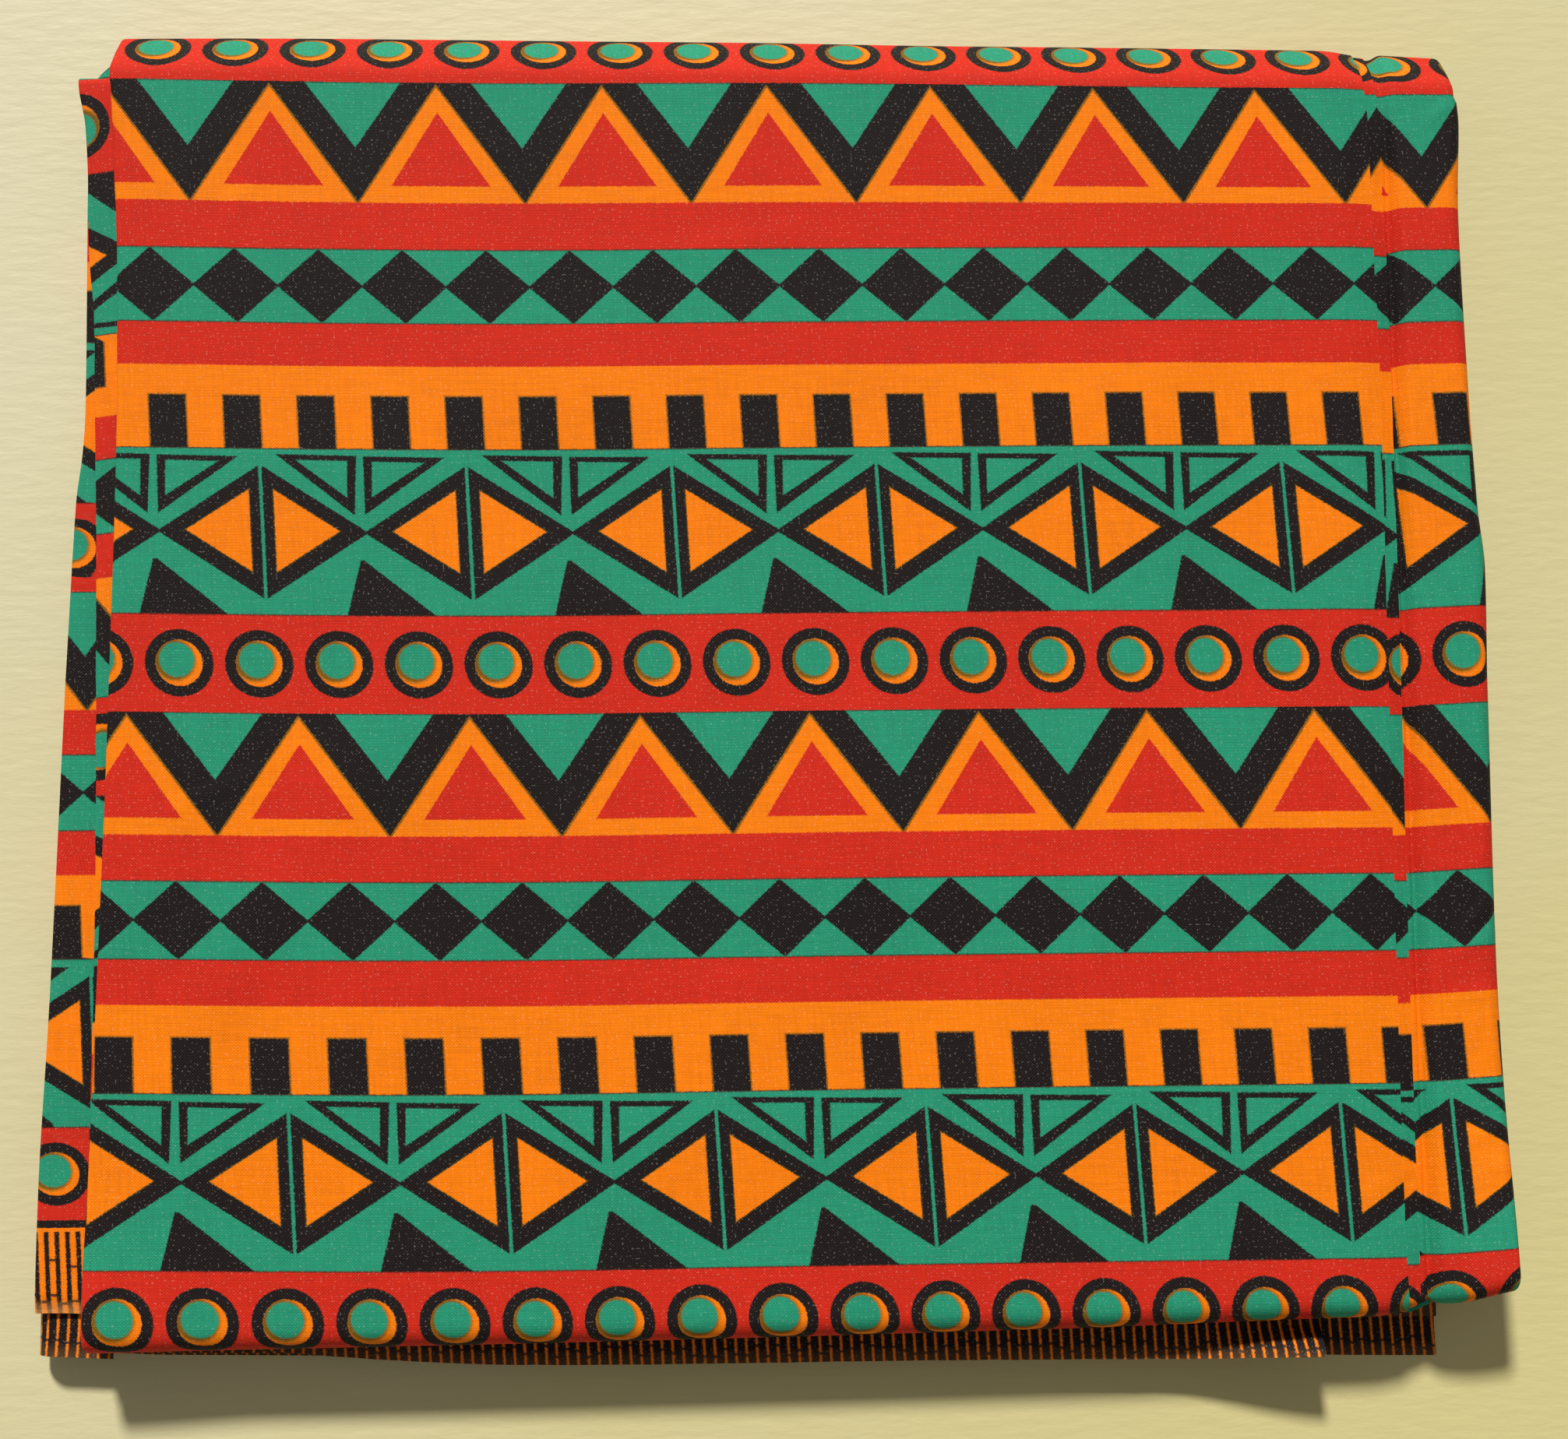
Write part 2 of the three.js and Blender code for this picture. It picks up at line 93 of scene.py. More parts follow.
def along(table, place):
    """A smooth value from a table of (place, value) rows."""
    if place <= table[0][0]:
        return table[0][1]
    if place >= table[-1][0]:
        return table[-1][1]
    i = max(k for k in range(len(table)) if table[k][0] <= place)
    (start, a), (end, b) = table[i], table[i + 1]
    t = (place - start) / (end - start)
    bend = (b - table[max(i - 1, 0)][1]) / 2
    next_bend = (table[min(i + 2, len(table) - 1)][1] - a) / 2
    curve = (2 * t**3 - 3 * t**2 + 1) * a + (t**3 - 2 * t**2 + t) * bend
    return curve + (3 * t**2 - 2 * t**3) * b + (t**3 - t**2) * next_bend


def lerp(a, b, t):
    """From a to b as t goes from 0 to 1."""
    return a + (b - a) * t


def ease(value, start, end):
    """0 before start, 1 after end, and smooth between."""
    t = min(1.0, max(0.0, (value - start) / (end - start)))
    return t * t * (3 - 2 * t)


def spread(start, end, count):
    """Evenly spaced values from start to end, in this many steps."""
    return [lerp(start, end, i / count) for i in range(count + 1)]


print("near fold at the middle:", round(along(NEAR_FOLD, 0), 1), "mm")

# %% [markdown]
# ## Soft rises and creases
#
# Pressed cotton lies almost flat, but it keeps low swells where the layers below are
# uneven, and a few fine creases where it was handled. They could come from a cloth
# simulation, but a handful of listed ones can sit just where they belong. Each
# swell is a soft hill, and each crease is a narrow ridge with a trough beside it.

# %% Hills and creases on the top face
# Middle x and y, half-length, half-width, height and turn in degrees.
SWELLS = [
    (-118, -60, 60, 9, 0.7, 58),
    (-60, 60, 80, 16, 0.4, 12),
    (40, -40, 90, 18, 0.4, -8),
    (95, 70, 60, 14, 0.5, 24),
    (-20, -100, 70, 12, 0.4, 4),
]
# From x, y to x, y, half-width and height.
CREASES = [
    (-141, -31.5, -106, -16.0, 1.3, 0.22),
    (-137, -66, -121, -44, 2.2, 0.16),
    (-96, -128, -70, -121, 2.0, 0.14),
    (118, -118, 136, -108, 1.4, 0.18),
    (104, 40, 133, 52, 2.4, 0.15),
    (84, -92, 96, -60, 2.8, 0.12),
    (-30, 96, 14, 104, 3.0, 0.14),
    (-128, 92, -112, 124, 2.6, 0.16),
    (20, 18, 52, 2, 3.2, 0.10),
]
# The same on the free ply at the right, where the fold has been handled most.
WRAP_CREASES = [
    (148, -62, 160, -55.5, 1.2, 0.42),
    (149, -70, 160, -69, 1.4, 0.30),
    (150, -58, 159.5, -47, 1.3, 0.26),
    (149, -102, 160.5, -96.5, 1.1, 0.40),
    (152, -108, 160.5, -106, 1.3, 0.25),
    (150, 128, 158, 134, 1.2, 0.35),
    (149, 60, 158, 66, 1.5, 0.20),
    (150, 12, 159, 8, 1.6, 0.20),
]


def crease_height(creases, x, y):
    """Height that the creases add at a point."""
    total = 0.0
    for x1, y1, x2, y2, width, height in creases:
        run = Vector((x2 - x1, y2 - y1))
        t = ((x - x1) * run.x + (y - y1) * run.y) / run.length_squared
        side = ((y - y1) * run.x - (x - x1) * run.y) / run.length / width
        fade = ease(t, -0.1, 0.35) * (1 - ease(t, 0.65, 1.1))
        if abs(side) < 4 and fade > 0:
            ridge, trough = math.exp(-side * side), math.exp(-((side - 1.6) ** 2))
            total += height * fade * (ridge - 0.5 * trough)
    return total


def swell_height(x, y):
    """Height of the top face above flat, faded out towards its edges."""
    total = 0.12 * noise.noise(Vector((x / 34, y / 26, 3.1)))
    for x0, y0, long, wide, height, turn in SWELLS:
        c, s = math.cos(math.radians(turn)), math.sin(math.radians(turn))
        u = ((x - x0) * c + (y - y0) * s) / long
        v = ((y - y0) * c - (x - x0) * s) / wide
        total += height * math.exp(-(u * u + v * v))
    fade = ease(x, -136, -116) * (1 - ease(x, 90, 110))
    return total * fade * ease(y, -136, -116) * (1 - ease(y, 118, 138))


print("creases:", len(CREASES) + len(WRAP_CREASES))

# %% [markdown]
# ## Warp and weft as the map of the print
#
# Print is laid on cloth before it is folded, so each point of a ply has an address on
# the flat cloth: u along the length and v across the width. Storing that address as
# a UV map, in metres, lets one printed pattern run round every fold and stay
# unstretched, which no projection from above could do.
#
# The bands of the print repeat every 142 mm across the width. The weft leans a little,
# as it does on most printed cotton, so u slips by 6% of v.

# %% Addresses on the flat cloth, in millimetres
REPEAT = 142.0  # of the print, across the width
TOP_V = 284.0  # v at the far band edge on the top face
TOP_V_AT = 135.64  # and its y
MIDDLE_V = 426.0  # the lean turns about here
LEAN = 0.0615
FIRST_EDGE = -43.1  # v at the two selvedges
LAST_EDGE = 1157.3


def top_v(y):
    """v on the top face, where it runs towards the viewer."""
    return TOP_V + TOP_V_AT - y


def bow(x):
    """The bands aren't quite straight: they lie this much farther away at x."""
    return along([(-150, 0.6), (-100, -0.2), (-54, -0.55), (0, -0.2), (52, 0), (134, 0.1)], x)


def far_slack(x, y):
    """Near the far fold the top ply isn't drawn tight: the bands lie farther by this."""
    grown = along([(97, 0), (109, 0.95), (121, 1.55), (136, 2.15), (152, 2.15)], y)
    share = along([(-60, 1), (-20, 0.95), (19, 0.8), (57, 0.55), (100, 0.3), (140, 0.2)], x)
    return grown * share


def sideways(x, y):
    """And the figures in them are crowded by this much."""
    strength = along([(-150, 0.8), (-100, 0.7), (0, 0.15), (60, 0.15), (120, 0.45)], y)
    near_left = 0.55 * (1 - ease(x, -135, -90)) * (1 - ease(y, -90, -60))
    return strength * (0.8 - 1.9 * ((x + 5) / 140) ** 2) - near_left


def leaning(u, v):
    """u at v, with the slip that the lean of the weft brings."""
    return u - LEAN * (v - MIDDLE_V)


print("cloth width:", round((LAST_EDGE - FIRST_EDGE) / 1000, 3), "m")

# %% [markdown]
# ## A sheet from rows of points
#
# Each ply is built as a grid: rows of points run along the warp, and the rows follow
# the fold. The grid is the outer face. A Solidify modifier then gives it the cloth's
# thickness inwards, so the outer face keeps the size of the solid model.
#
# It gets two UV maps. "cloth" is the flat cloth itself, for its size. "print" is the
# same, but a band's figures may stand farther along in it, as each band was printed
# by a block of its own.

# %% Build a ply from a grid


def sheet_from_grid(name, rows, flipped=False, slip=None):
    """A closed thin sheet from rows of (point, (u, v)), all of one length, in mm.

    Its outer face is the one from which columns and rows run as x and y do, or the
    other one where the grid is flipped. slip(v) moves the figures of a band along.
    """
    columns = len(rows[0])
    cells = [cell for row in rows for cell in row]
    faces = []
    for r in range(len(rows) - 1):
        for c in range(columns - 1):
            a = r * columns + c
            faces.append((a, a + 1, a + columns + 1, a + columns))
    if flipped:
        faces = [face[::-1] for face in faces]
    mesh = bpy.data.meshes.new(name)
    mesh.from_pydata([point * MM for point, address in cells], [], faces)
    cloth_map = mesh.uv_layers.new(name="cloth")
    print_map = mesh.uv_layers.new(name="print")
    for loop in mesh.loops:
        u, v = cells[loop.vertex_index][1]
        cloth_map.data[loop.index].uv = (u * MM, v * MM)
        print_map.data[loop.index].uv = ((u + (slip(v) if slip else 0.0)) * MM, v * MM)
    piece = bpy.data.objects.new(name, mesh)
    bpy.context.scene.collection.objects.link(piece)
    mesh.shade_smooth()
    bpy.ops.object.select_all(action="DESELECT")
    piece.select_set(True)
    bpy.context.view_layer.objects.active = piece
    solid = piece.modifiers.new("thickness", "SOLIDIFY")
    solid.thickness = CLOTH * MM
    solid.offset = -1
    solid.use_even_offset = False
    bpy.ops.object.modifier_apply(modifier=solid.name)
    bpy.ops.object.shade_smooth_by_angle(angle=math.radians(50))
    print(name, "faces:", len(piece.data.polygons))
    return piece


# %% [markdown]
# ## The far fold
#
# The far fold goes round all four quarters. It isn't a half circle: the cloth slopes
# down at about 40 degrees first, and turns in sharply below. A curve object could show
# that, but the length walked down it is needed too, for the print. So the slope is a
# sum of eased steps, and the profile is walked in quarter millimetres.

# %% Profile of the far fold
SLOPE_LENGTH = 18.5  # of its sloping part, walked down it


def far_profile():
    """Rows (distance walked, y, z, angle) down the far fold, from the end of the top."""
    rows, y, z, walked, stride = [], 0.0, STACK, 0.0, 0.25
    while walked < SLOPE_LENGTH:
        # It tips down at once, grows a little steeper, and turns upright at the end.
        steep = 38 * ease(walked, -0.5, 5) + 7 * ease(walked, 4, 15)
        angle = math.radians(steep + 45 * ease(walked, 14.5, SLOPE_LENGTH))
        rows.append((walked, y, z, angle))
        y, z = y + stride * math.cos(angle), z - stride * math.sin(angle)
        walked += stride
    radius = z
    for i in range(25):
        angle = math.pi / 2 * (1 + i / 24)
        turned = radius * (angle - math.pi / 2)
        back, up = radius * (1 - math.sin(angle)), radius * (1 + math.cos(angle))
        rows.append((walked + turned, y - back, up, angle))
    return rows


FAR_PROFILE = far_profile()
FAR_LENGTH = FAR_PROFILE[-1][0]


def far_at(walked):
    """(y, z, angle) of the far fold at a distance walked down it."""
    for a, b in zip(FAR_PROFILE, FAR_PROFILE[1:]):
        if walked <= b[0]:
            t = (walked - a[0]) / (b[0] - a[0])
            return tuple(lerp(a[i], b[i], t) for i in (1, 2, 3))
    return FAR_PROFILE[-1][1:]


print("cloth down the far fold:", round(FAR_LENGTH, 1), "mm")

# %% [markdown]
# ## The fold that the upper plies follow
#
# From under the near fold, round it, over the top and down the far fold: one path,
# walked in small steps. Each step knows its v, so the print walks with it. All three
# upper plies follow this path, each at its own depth below the outer face.

# %% Walk the fold
TUCK = 3.0  # how far a ply runs back in under the near fold
SPREAD_RIGHT, SPREAD_LENGTH = 141.0, 4.0  # where the free ply lifts
GRAIN = 1.7  # pitch of the grid on the top face
TOP_WIDE, TOP_DEEP = 285, 280  # about, for the number of its steps
LEFT_LIFT, RIGHT_LIFT = 1.3, 3.0  # of the two near corners


def fold_steps():
    """Each step of the path: the part that it is on, and how far along that part."""
    walk = [("tuck", TUCK), ("tuck", TUCK / 2)]
    walk += [("near", i / 12) for i in range(12)]
    count = round(TOP_DEEP / GRAIN)
    walk += [("top", i / count) for i in range(count)]
    walk += [("far", i / 36) for i in range(37)]
    return walk


def near_centre(x):
    """y of the line that the near fold turns about. The free ply lies farther in."""
    setback = 1.8 * ease(x, SPREAD_RIGHT, SPREAD_RIGHT + SPREAD_LENGTH)
    return along(NEAR_FOLD, x) + NEAR_RADIUS + setback + 2.8 * ease(x, 146, 162)


def corner_lift(x, y):
    """The two near corners stand up a little, the loose one at the right more."""
    left = LEFT_LIFT * (1 - ease(x, -150, -115)) * (1 - ease(y, -142, -105))
    return left + RIGHT_LIFT * ease(x, 141, 159) * (1 - ease(y, -142, -80))


def far_start(x):
    """Where the top face ends and the far fold begins."""
    return along(FAR_FOLD, x) - FAR_REACH


def fold_point(step, x, depth, lift=0.0):
    """The place and the v of a step, at x, this deep below the outer face."""
    on, t = step
    near, far = near_centre(x), far_start(x)
    height = STACK - NEAR_RADIUS + corner_lift(x, near)
    if on == "tuck":
        v = top_v(near) + math.pi * NEAR_RADIUS + t
        return Vector((x, near + t, height - NEAR_RADIUS + depth)), v
    if on == "near":
        angle = math.pi * (t - 0.5)
        radius = NEAR_RADIUS - depth
        place = Vector((x, near - radius * math.cos(angle), height + radius * math.sin(angle)))
        return place, top_v(near) + NEAR_RADIUS * math.pi * (1 - t)
    if on == "top":
        y = lerp(near, far, t)
        return Vector((x, y, STACK + corner_lift(x, y) - depth + lift)), top_v(y)
    y, z, angle = far_at(t * FAR_LENGTH)
    place = Vector((x, far + y - depth * math.sin(angle), z - depth * math.cos(angle)))
    return place, top_v(far) - t * FAR_LENGTH


def rough_y(step):
    """About how far along y a step is, for the tables of side edges."""
    on, t = step
    return {"tuck": -143, "near": -143, "far": 146}.get(on, lerp(-138, 140, t))


print("steps round the fold:", len(fold_steps()))

# %% [markdown]
# ## The top cloth
#
# The ply that everybody sees. At the left it is folded back under itself, and at the
# right it ends in the cut edge, which droops until it rests on the next ply. The
# fold and the droop are what make it read as cloth and not as a lid.

# %% Top cloth
LEFT_RADIUS = 1.15  # outer radius of the fold at the left
LEFT_RETURN = 7.0  # and how far it comes back under
DROOP = 0.9  # at the cut edge


def left_fold(turn, radius, leg, steps):
    """(x, drop, u) round a fold at the left: the leg under it, then the half turn.

    The fold turns about x = turn, and drop is counted down from its upper side.
    """
    arc = math.pi * radius
    rows = [(turn + s, 2 * radius, turn - arc - s) for s in leg]
    for i in range(steps + 1):
        angle = math.pi * (i / steps - 0.5)
        x, drop = turn - radius * math.cos(angle), radius * (1 - math.sin(angle))
        rows.append((x, drop, turn - arc * (1 - i / steps)))
    return rows


def top_section(y):
    """(x, depth, u) across the ply, from under the left fold to the cut edge."""
    turn = along(TOP_LEFT, y) + LEFT_RADIUS
    edge = along(CUT_EDGE, y) + 0.12 * noise.noise(Vector((0, y / 5, 8)))
    section = left_fold(turn, LEFT_RADIUS, spread(LEFT_RETURN, 0, 3)[:-1], 8)
    for x in spread(turn, edge, round(TOP_WIDE / GRAIN))[1:]:
        section.append((x, DROOP * ease(x, edge - 9, edge + 1.5) ** 1.5, x))
    return section


def build_top_cloth():
    rows = []
    for step in fold_steps():
        row = []
        for x, depth, u in top_section(rough_y(step)):
            flat_y = fold_point(step, x, 0)[0].y
            lift = 0.0
            if depth < 1:  # what is folded under stays flat
                lift = swell_height(x, flat_y) + crease_height(CREASES, x, flat_y)
            place, v = fold_point(step, x, depth, lift)
            v += bow(x) + far_slack(x, place.y)
            row.append((place, (leaning(u - sideways(x, place.y), v), v)))
        rows.append(row)
    return sheet_from_grid("top_cloth", rows)


top_cloth = build_top_cloth()
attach(top_cloth, "root")
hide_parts("top_ply")

# %% [markdown]
# ## The plies below, at the right
#
# The cut edges of the plies below step out to the right. They follow the same path as
# the top cloth, so one function builds each from its cross section. Their print is the
# same, but shifted: one turn of cloth further on, it starts again at another place.

# %% A ply that follows the fold
TURN_OF_CLOTH = 617.5  # warp length used by one turn


def build_upper_ply(name, section, creases, shift_u, shift_v, drift):
    """A ply that follows the fold. section(y) gives its (x, depth, u) points."""
    rows = []
    for step in fold_steps():
        row = []
        for x, depth, u in section(rough_y(step)):
            flat_y = fold_point(step, x, 0)[0].y
            place, v = fold_point(step, x, depth, crease_height(creases, x, flat_y))
            more_u, more_v = drift(x, place.y)
            row.append((place, (leaning(u, v) - shift_u + more_u, v + shift_v + more_v)))
        rows.append(row)
    return sheet_from_grid(name, rows)


def pressed(y):
    """From 0 to 1 towards the far fold, where these plies are drawn over each other."""
    return ease(y, 118, 139)


print("one turn of cloth:", TURN_OF_CLOTH, "mm")

# %% [markdown]
# ## The second cloth
#
# It shows as a strip a few millimetres wide, and its cut edge droops on to the next
# ply. Most of it lies hidden, so the sheet begins only a little way under the top one.

# %% Second cloth
SECOND_STRIP = (110, 134)  # x where it begins, and where it comes into sight


def second_drift(x, y):
    """(u, v) slip of the second ply, in mm: it is slack towards the far fold."""
    return 0.0, 1.2 * ease(y, 95, 122)


def second_section(y):
    """(x, depth, u) across the second ply, to its drooping edge."""
    edge = along(SECOND_EDGE, y) + 0.1 * noise.noise(Vector((4, y / 6, 2)))
    start, seen = SECOND_STRIP
    xs = spread(start, seen, 3)[:-1] + spread(seen, edge, 8)
    droop = lerp(0.85, 0.15, pressed(y))
    return [(x, PLY_PITCH + droop * ease(x, edge - 3.4, edge + 0.6), x) for x in xs]


second_cloth = build_upper_ply("second_cloth", second_section, [], 2 * TURN_OF_CLOTH, -1.6,
                               second_drift)
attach(second_cloth, "root")
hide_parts("second_ply")

# %% [markdown]
# ## The free ply at the right
#
# Beside the edge of the second ply this one lies in a groove. Then it rises almost to
# the height of the top face, since nothing lies on it there, and rolls over the right
# edge. It has been pulled a little askew, so its bands don't quite meet the others.

# %% Right cloth
RIGHT_STRIP = 125  # x where it begins
LOOSE_ROLL = 3.4  # radius in which it rolls over the right edge


def right_drift(x, y):
    """The free ply has been pulled a little askew: (u, v) slip here, in mm."""
    askew = [(-140, 0.10), (-125, 0.09), (-80, 0.06), (10, 0.05), (85, 0.02), (140, 0)]
    pulled = [(-142, 1.3), (-60, 1.0), (20, 0.9), (85, 0.3), (130, 0)]
    slip_u = 0.8 * ease(y, 0, 100) + 1.4 * ease(y, 132, 143)
    return slip_u, along(pulled, y) + along(askew, y) * (x - 143)


def right_section(y):
    """(x, depth, u) across the free ply, from below the others and over the edge."""
    flat = pressed(y)
    deep, shallow = 2 * PLY_PITCH - 0.7 * flat, 2 * PLY_PITCH - 2.0
    roll = lerp(1.2, LOOSE_ROLL, ease(y, -142, -100)) - 1.2 * flat
    turn = along(RIGHT_FOLD, y) - roll
    xs = spread(RIGHT_STRIP, 139.5, 4)[:-1] + spread(139.5, 145, 14)[:-1] + spread(145, turn, 12)
    section = []
    for x in xs:
        # A groove runs beside the edge of the second ply, and then the free ply rises.
        groove = 0.6 * math.exp(-(((x - 141.6) / 0.6) ** 2)) * (1 - flat)
        rise = ease(x, SPREAD_RIGHT + 0.4 - flat, 145 - 1.5 * flat)
        section.append((x, groove + lerp(deep, shallow, rise), x))
    for i in range(1, 13):
        angle = i / 12 * math.pi / 2
        x, depth = turn + roll * math.sin(angle), shallow + roll * (1 - math.cos(angle))
        section.append((x, depth, turn + roll * angle))
    return section


right_cloth = build_upper_ply("right_cloth", right_section, WRAP_CREASES, TURN_OF_CLOTH, -0.7,
                              right_drift)
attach(right_cloth, "root")
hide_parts("right_wrap")

# %% [markdown]
# ## The plies that show at the left
#
# Below the top quarter lie the third, fourth and first quarters, each a little out of
# line. A strip of each shows. On the real bundle the edge of such a strip is a fold,
# so the sheet turns down, round and back under.

# %% Third cloth and its fold
FOLD_RADIUS = 0.5  # outer radius of these folds
RETURN = 6.0  # cloth that goes back under
STRIP_INNER = -134.0  # x where the strips end, under the top ply


def folded_strip(left, top):
    """(x, z, u) across a strip, from under its fold to its inner edge."""
    turn = left + FOLD_RADIUS
    folded = left_fold(turn, FOLD_RADIUS, (RETURN, RETURN / 2), 8)
    section = [(x, top - drop, u) for x, drop, u in folded]
    return section + [(x, top, x) for x in spread(turn, STRIP_INNER, 14)[1:]]


THIRD_SHIFT = -1941.0  # where its figures stand along the warp
THIRD_TOP = 14.0  # height of its upper face
THIRD_NEAR, THIRD_FAR = -134, 138.9  # y between which it lies flat
FAR_ROLL = 2.2  # radius in which it turns down at the far side


def third_v(x, y):
    """It lies a little askew, and it is slack near its far corner."""
    return 712.7 + y - 0.14 * (x + 152) - 0.9 * ease(y, 108, 125) - 0.8 * ease(y, 128, 138)


def third_slip(v):
    """Its bars and its paired triangles stand a little aside from the rest."""
    bars = ease(v, 758, 765) * (1 - ease(v, 791.5, 793.5))
    return 2.1 * bars - 1.7 * ease(v, 791.5, 793.5) * (1 - ease(v, 828, 831))


def build_third_cloth():
    path = [(y, y, THIRD_TOP) for y in spread(THIRD_NEAR, THIRD_FAR, 136)]
    for i in range(1, 8):
        angle = i / 7 * math.pi / 2
        out, down = FAR_ROLL * math.sin(angle), FAR_ROLL * (1 - math.cos(angle))
        path.append((THIRD_FAR + FAR_ROLL * angle, THIRD_FAR + out, THIRD_TOP - down))
    rows = []
    for walked, y, top in path:
        left = along(THIRD_LEFT, y) + 0.15 * noise.noise(Vector((1, y / 9, 5)))
        row = []
        for x, z, u in folded_strip(left, top):
            v = third_v(x, walked)
            # This ply has been turned half round, so its print runs back in u too.
            row.append((Vector((x, y, z)), (leaning(-u, v) + THIRD_SHIFT, v)))
        rows.append(row)
    return sheet_from_grid("third_cloth", rows, slip=third_slip)


third_cloth = build_third_cloth()
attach(third_cloth, "root")
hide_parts("third_ply")

# %% [markdown]
# ## The selvedges
#
# The width of the cloth begins and ends in a selvedge printed with fine upright bars.
# Both come out under the near fold. The upper one is a strip down the left side that
# runs into a band along the near side, so its grid has two arms that share a corner.

# %% Strip down the left side
FOURTH_TOP = 9.5  # height of the upper face
FOURTH_SHIFT = 8.9  # where its figures stand along the warp
FOURTH_FAR = 141  # y where the strip ends
BAND_FAR = -127.6  # y where the strip gives way to the band
BAND_NEAR = -137  # y about where the band's selvedge is at the left
BAND_RIGHT = 119.2  # x of the band's right end
BAND_SAG = 0.7  # towards its selvedge
CURL = 6.2  # its right corner curls up by this much
BARS_BEGIN = [-59.4, -59.9, -60.4, -60.9]  # rows where the figures jump in the print


def fourth_v(y):
    """v down the left strip. Near the selvedge the ply is puckered, so v runs ahead."""
    start = along([(-137, 1020.7), (-127, 1020.4), (-116.5, 1019.5), (-96.5, 1017.7),
                   (-60, 1017.0), (-41, 1016.6), (22, 1016.4), (42, 1014.9), (60, 1014.6)], y)
    return start - y


def fourth_slip(v):
    """Each band was printed by its own block, so on this ply each starts elsewhere."""
    steps = [(972.8, 975.8, -14.5), (990.5, 993.8, -17.2), (1022, 1030, 1.5), (1049, 1056, 7.7),
             (1076.6, 1077.5, -11.6), (1114.5, 1117.5, 11.0)]
    return 14.9 + sum(change * ease(v, start, end) for start, end, change in steps)


def selvedge_point(x, t):
    """A point of the band between its far side and the selvedge, t from 0 to 1."""
    edge = along(UPPER_SELVEDGE, x) + 0.12 * noise.noise(Vector((x / 5, 0, 7)))
    curl = ease(x, 84, 121) * ease(t, 0.6, 1.02)
    y = lerp(BAND_FAR, edge, t) + 1.4 * curl
    return Vector((x, y, FOURTH_TOP - BAND_SAG * ease(t, 0.5, 1.1) + CURL * curl))


def fourth_section(y):
    """(x, z, u) across the strip."""
    return folded_strip(along(LOWER_LEFT, y), FOURTH_TOP)


BAND_STEPS = spread(0, 1, 24)  # from the band's far side to the selvedge


def build_selvedge_strip():
    ys = spread(FOURTH_FAR, BAND_FAR, 134)[:-1] + BARS_BEGIN
    lines = []
    for y in sorted(ys, reverse=True):
        lines.append([Vector((x, y, z)) for x, z, u in fourth_section(y)])
    for t in BAND_STEPS:
        line = []
        for x, z, u in fourth_section(lerp(BAND_FAR, BAND_NEAR, t)):
            place = selvedge_point(x, t)
            line.append(Vector((x, place.y, z - (FOURTH_TOP - place.z))))
        lines.append(line)
    rows = []
    for line in lines:
        row = []
        for place, (x, z, u) in zip(line, fourth_section(line[-1].y)):
            v = fourth_v(place.y)
            row.append((place, (leaning(u, v) + FOURTH_SHIFT, v)))
        rows.append(row)
    return sheet_from_grid("upper_selvedge_cloth", rows, True, fourth_slip)


upper_selvedge_cloth = build_selvedge_strip()

# %% [markdown]
# ## The band along the near side
#
# From the corner the selvedge runs on to the right, just under the near fold. Its
# right corner has come loose and curls up, which throws the pointed shadow.

# %% Band along the near side


def build_selvedge_band():
    rows = []
    for t in BAND_STEPS:
        row = []
        for x in spread(STRIP_INNER, BAND_RIGHT, 128):
            place = selvedge_point(x, t)
            v = LAST_EDGE - (place.y - along(UPPER_SELVEDGE, x))
            row.append((place, (leaning(x, v) + FOURTH_SHIFT, v)))
        rows.append(row)
    return sheet_from_grid("selvedge_band", rows, flipped=True)


selvedge_band = build_selvedge_band()
for piece in (upper_selvedge_cloth, selvedge_band):
    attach(piece, "root")
    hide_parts("upper_selvedge_ply")

# %% [markdown]
# ## The underside
#
# The bottom ply is the one the bundle rests on, so it stays flat. At the left it
# folds up and comes back on top of itself. At the near corner this fold gapes, and its
# upper leg shows there just below the other selvedge.

# %% Lower selvedge cloth
UNDERSIDE_LEFT = [(-143.4, -161.4), (-120, -161.7), (-40, -158.6), (60, -154), (139.4, -151)]
UNDERSIDE_RIGHT = [(-150, 147.6), (-134, 147.8), (0, 153), (136.4, 156)]
UPPER_LEG = 13.0  # cloth that comes back on top
GAPE = 3.3  # by which the radius of the fold grows at the near corner


def first_v(x, y):
    """v of the first quarter, counted from its selvedge."""
    return FIRST_EDGE + (y - along(LOWER_SELVEDGE, x))


def build_lower_selvedge_cloth():
    rows = []
    for t in spread(0, 1, 120):
        rough = lerp(-148, 139.8, t)
        radius = FOLD_RADIUS + GAPE * (1 - ease(rough, -137, -96))
        turn = along(UNDERSIDE_LEFT, rough) + radius
        right = along(UNDERSIDE_RIGHT, rough)
        # This fold turns up, so what left_fold counts down is a height here.
        section = left_fold(turn, radius, spread(UPPER_LEG, 0, 12)[:-1], 12)
        section += [(x, 0.0, x) for x in spread(turn, right, 104)[1:]]
        row = []
        for x, z, u in section:
            far = far_start(x) + FAR_PROFILE[-1][1] - CLOTH
            place = Vector((x, lerp(along(LOWER_SELVEDGE, x), far, t), z))
            v = first_v(x, place.y)
            row.append((place, (leaning(-u, v), v)))
        rows.append(row)
    return sheet_from_grid("lower_selvedge_cloth", rows, flipped=True)


lower_selvedge_cloth = build_lower_selvedge_cloth()
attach(lower_selvedge_cloth, "root")
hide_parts("lower_selvedge_ply")

# %% [markdown]
# ## The inner layers
#
# Between the shown plies lie about sixty more. Seen from a side they are a stack of
# fine rounded folds, none quite in line with the next. Sixty sheets would cost far too
# many faces, so one closed block is made from rings, five to each fold: the ring
# swells at the fold's middle and draws in between two folds.

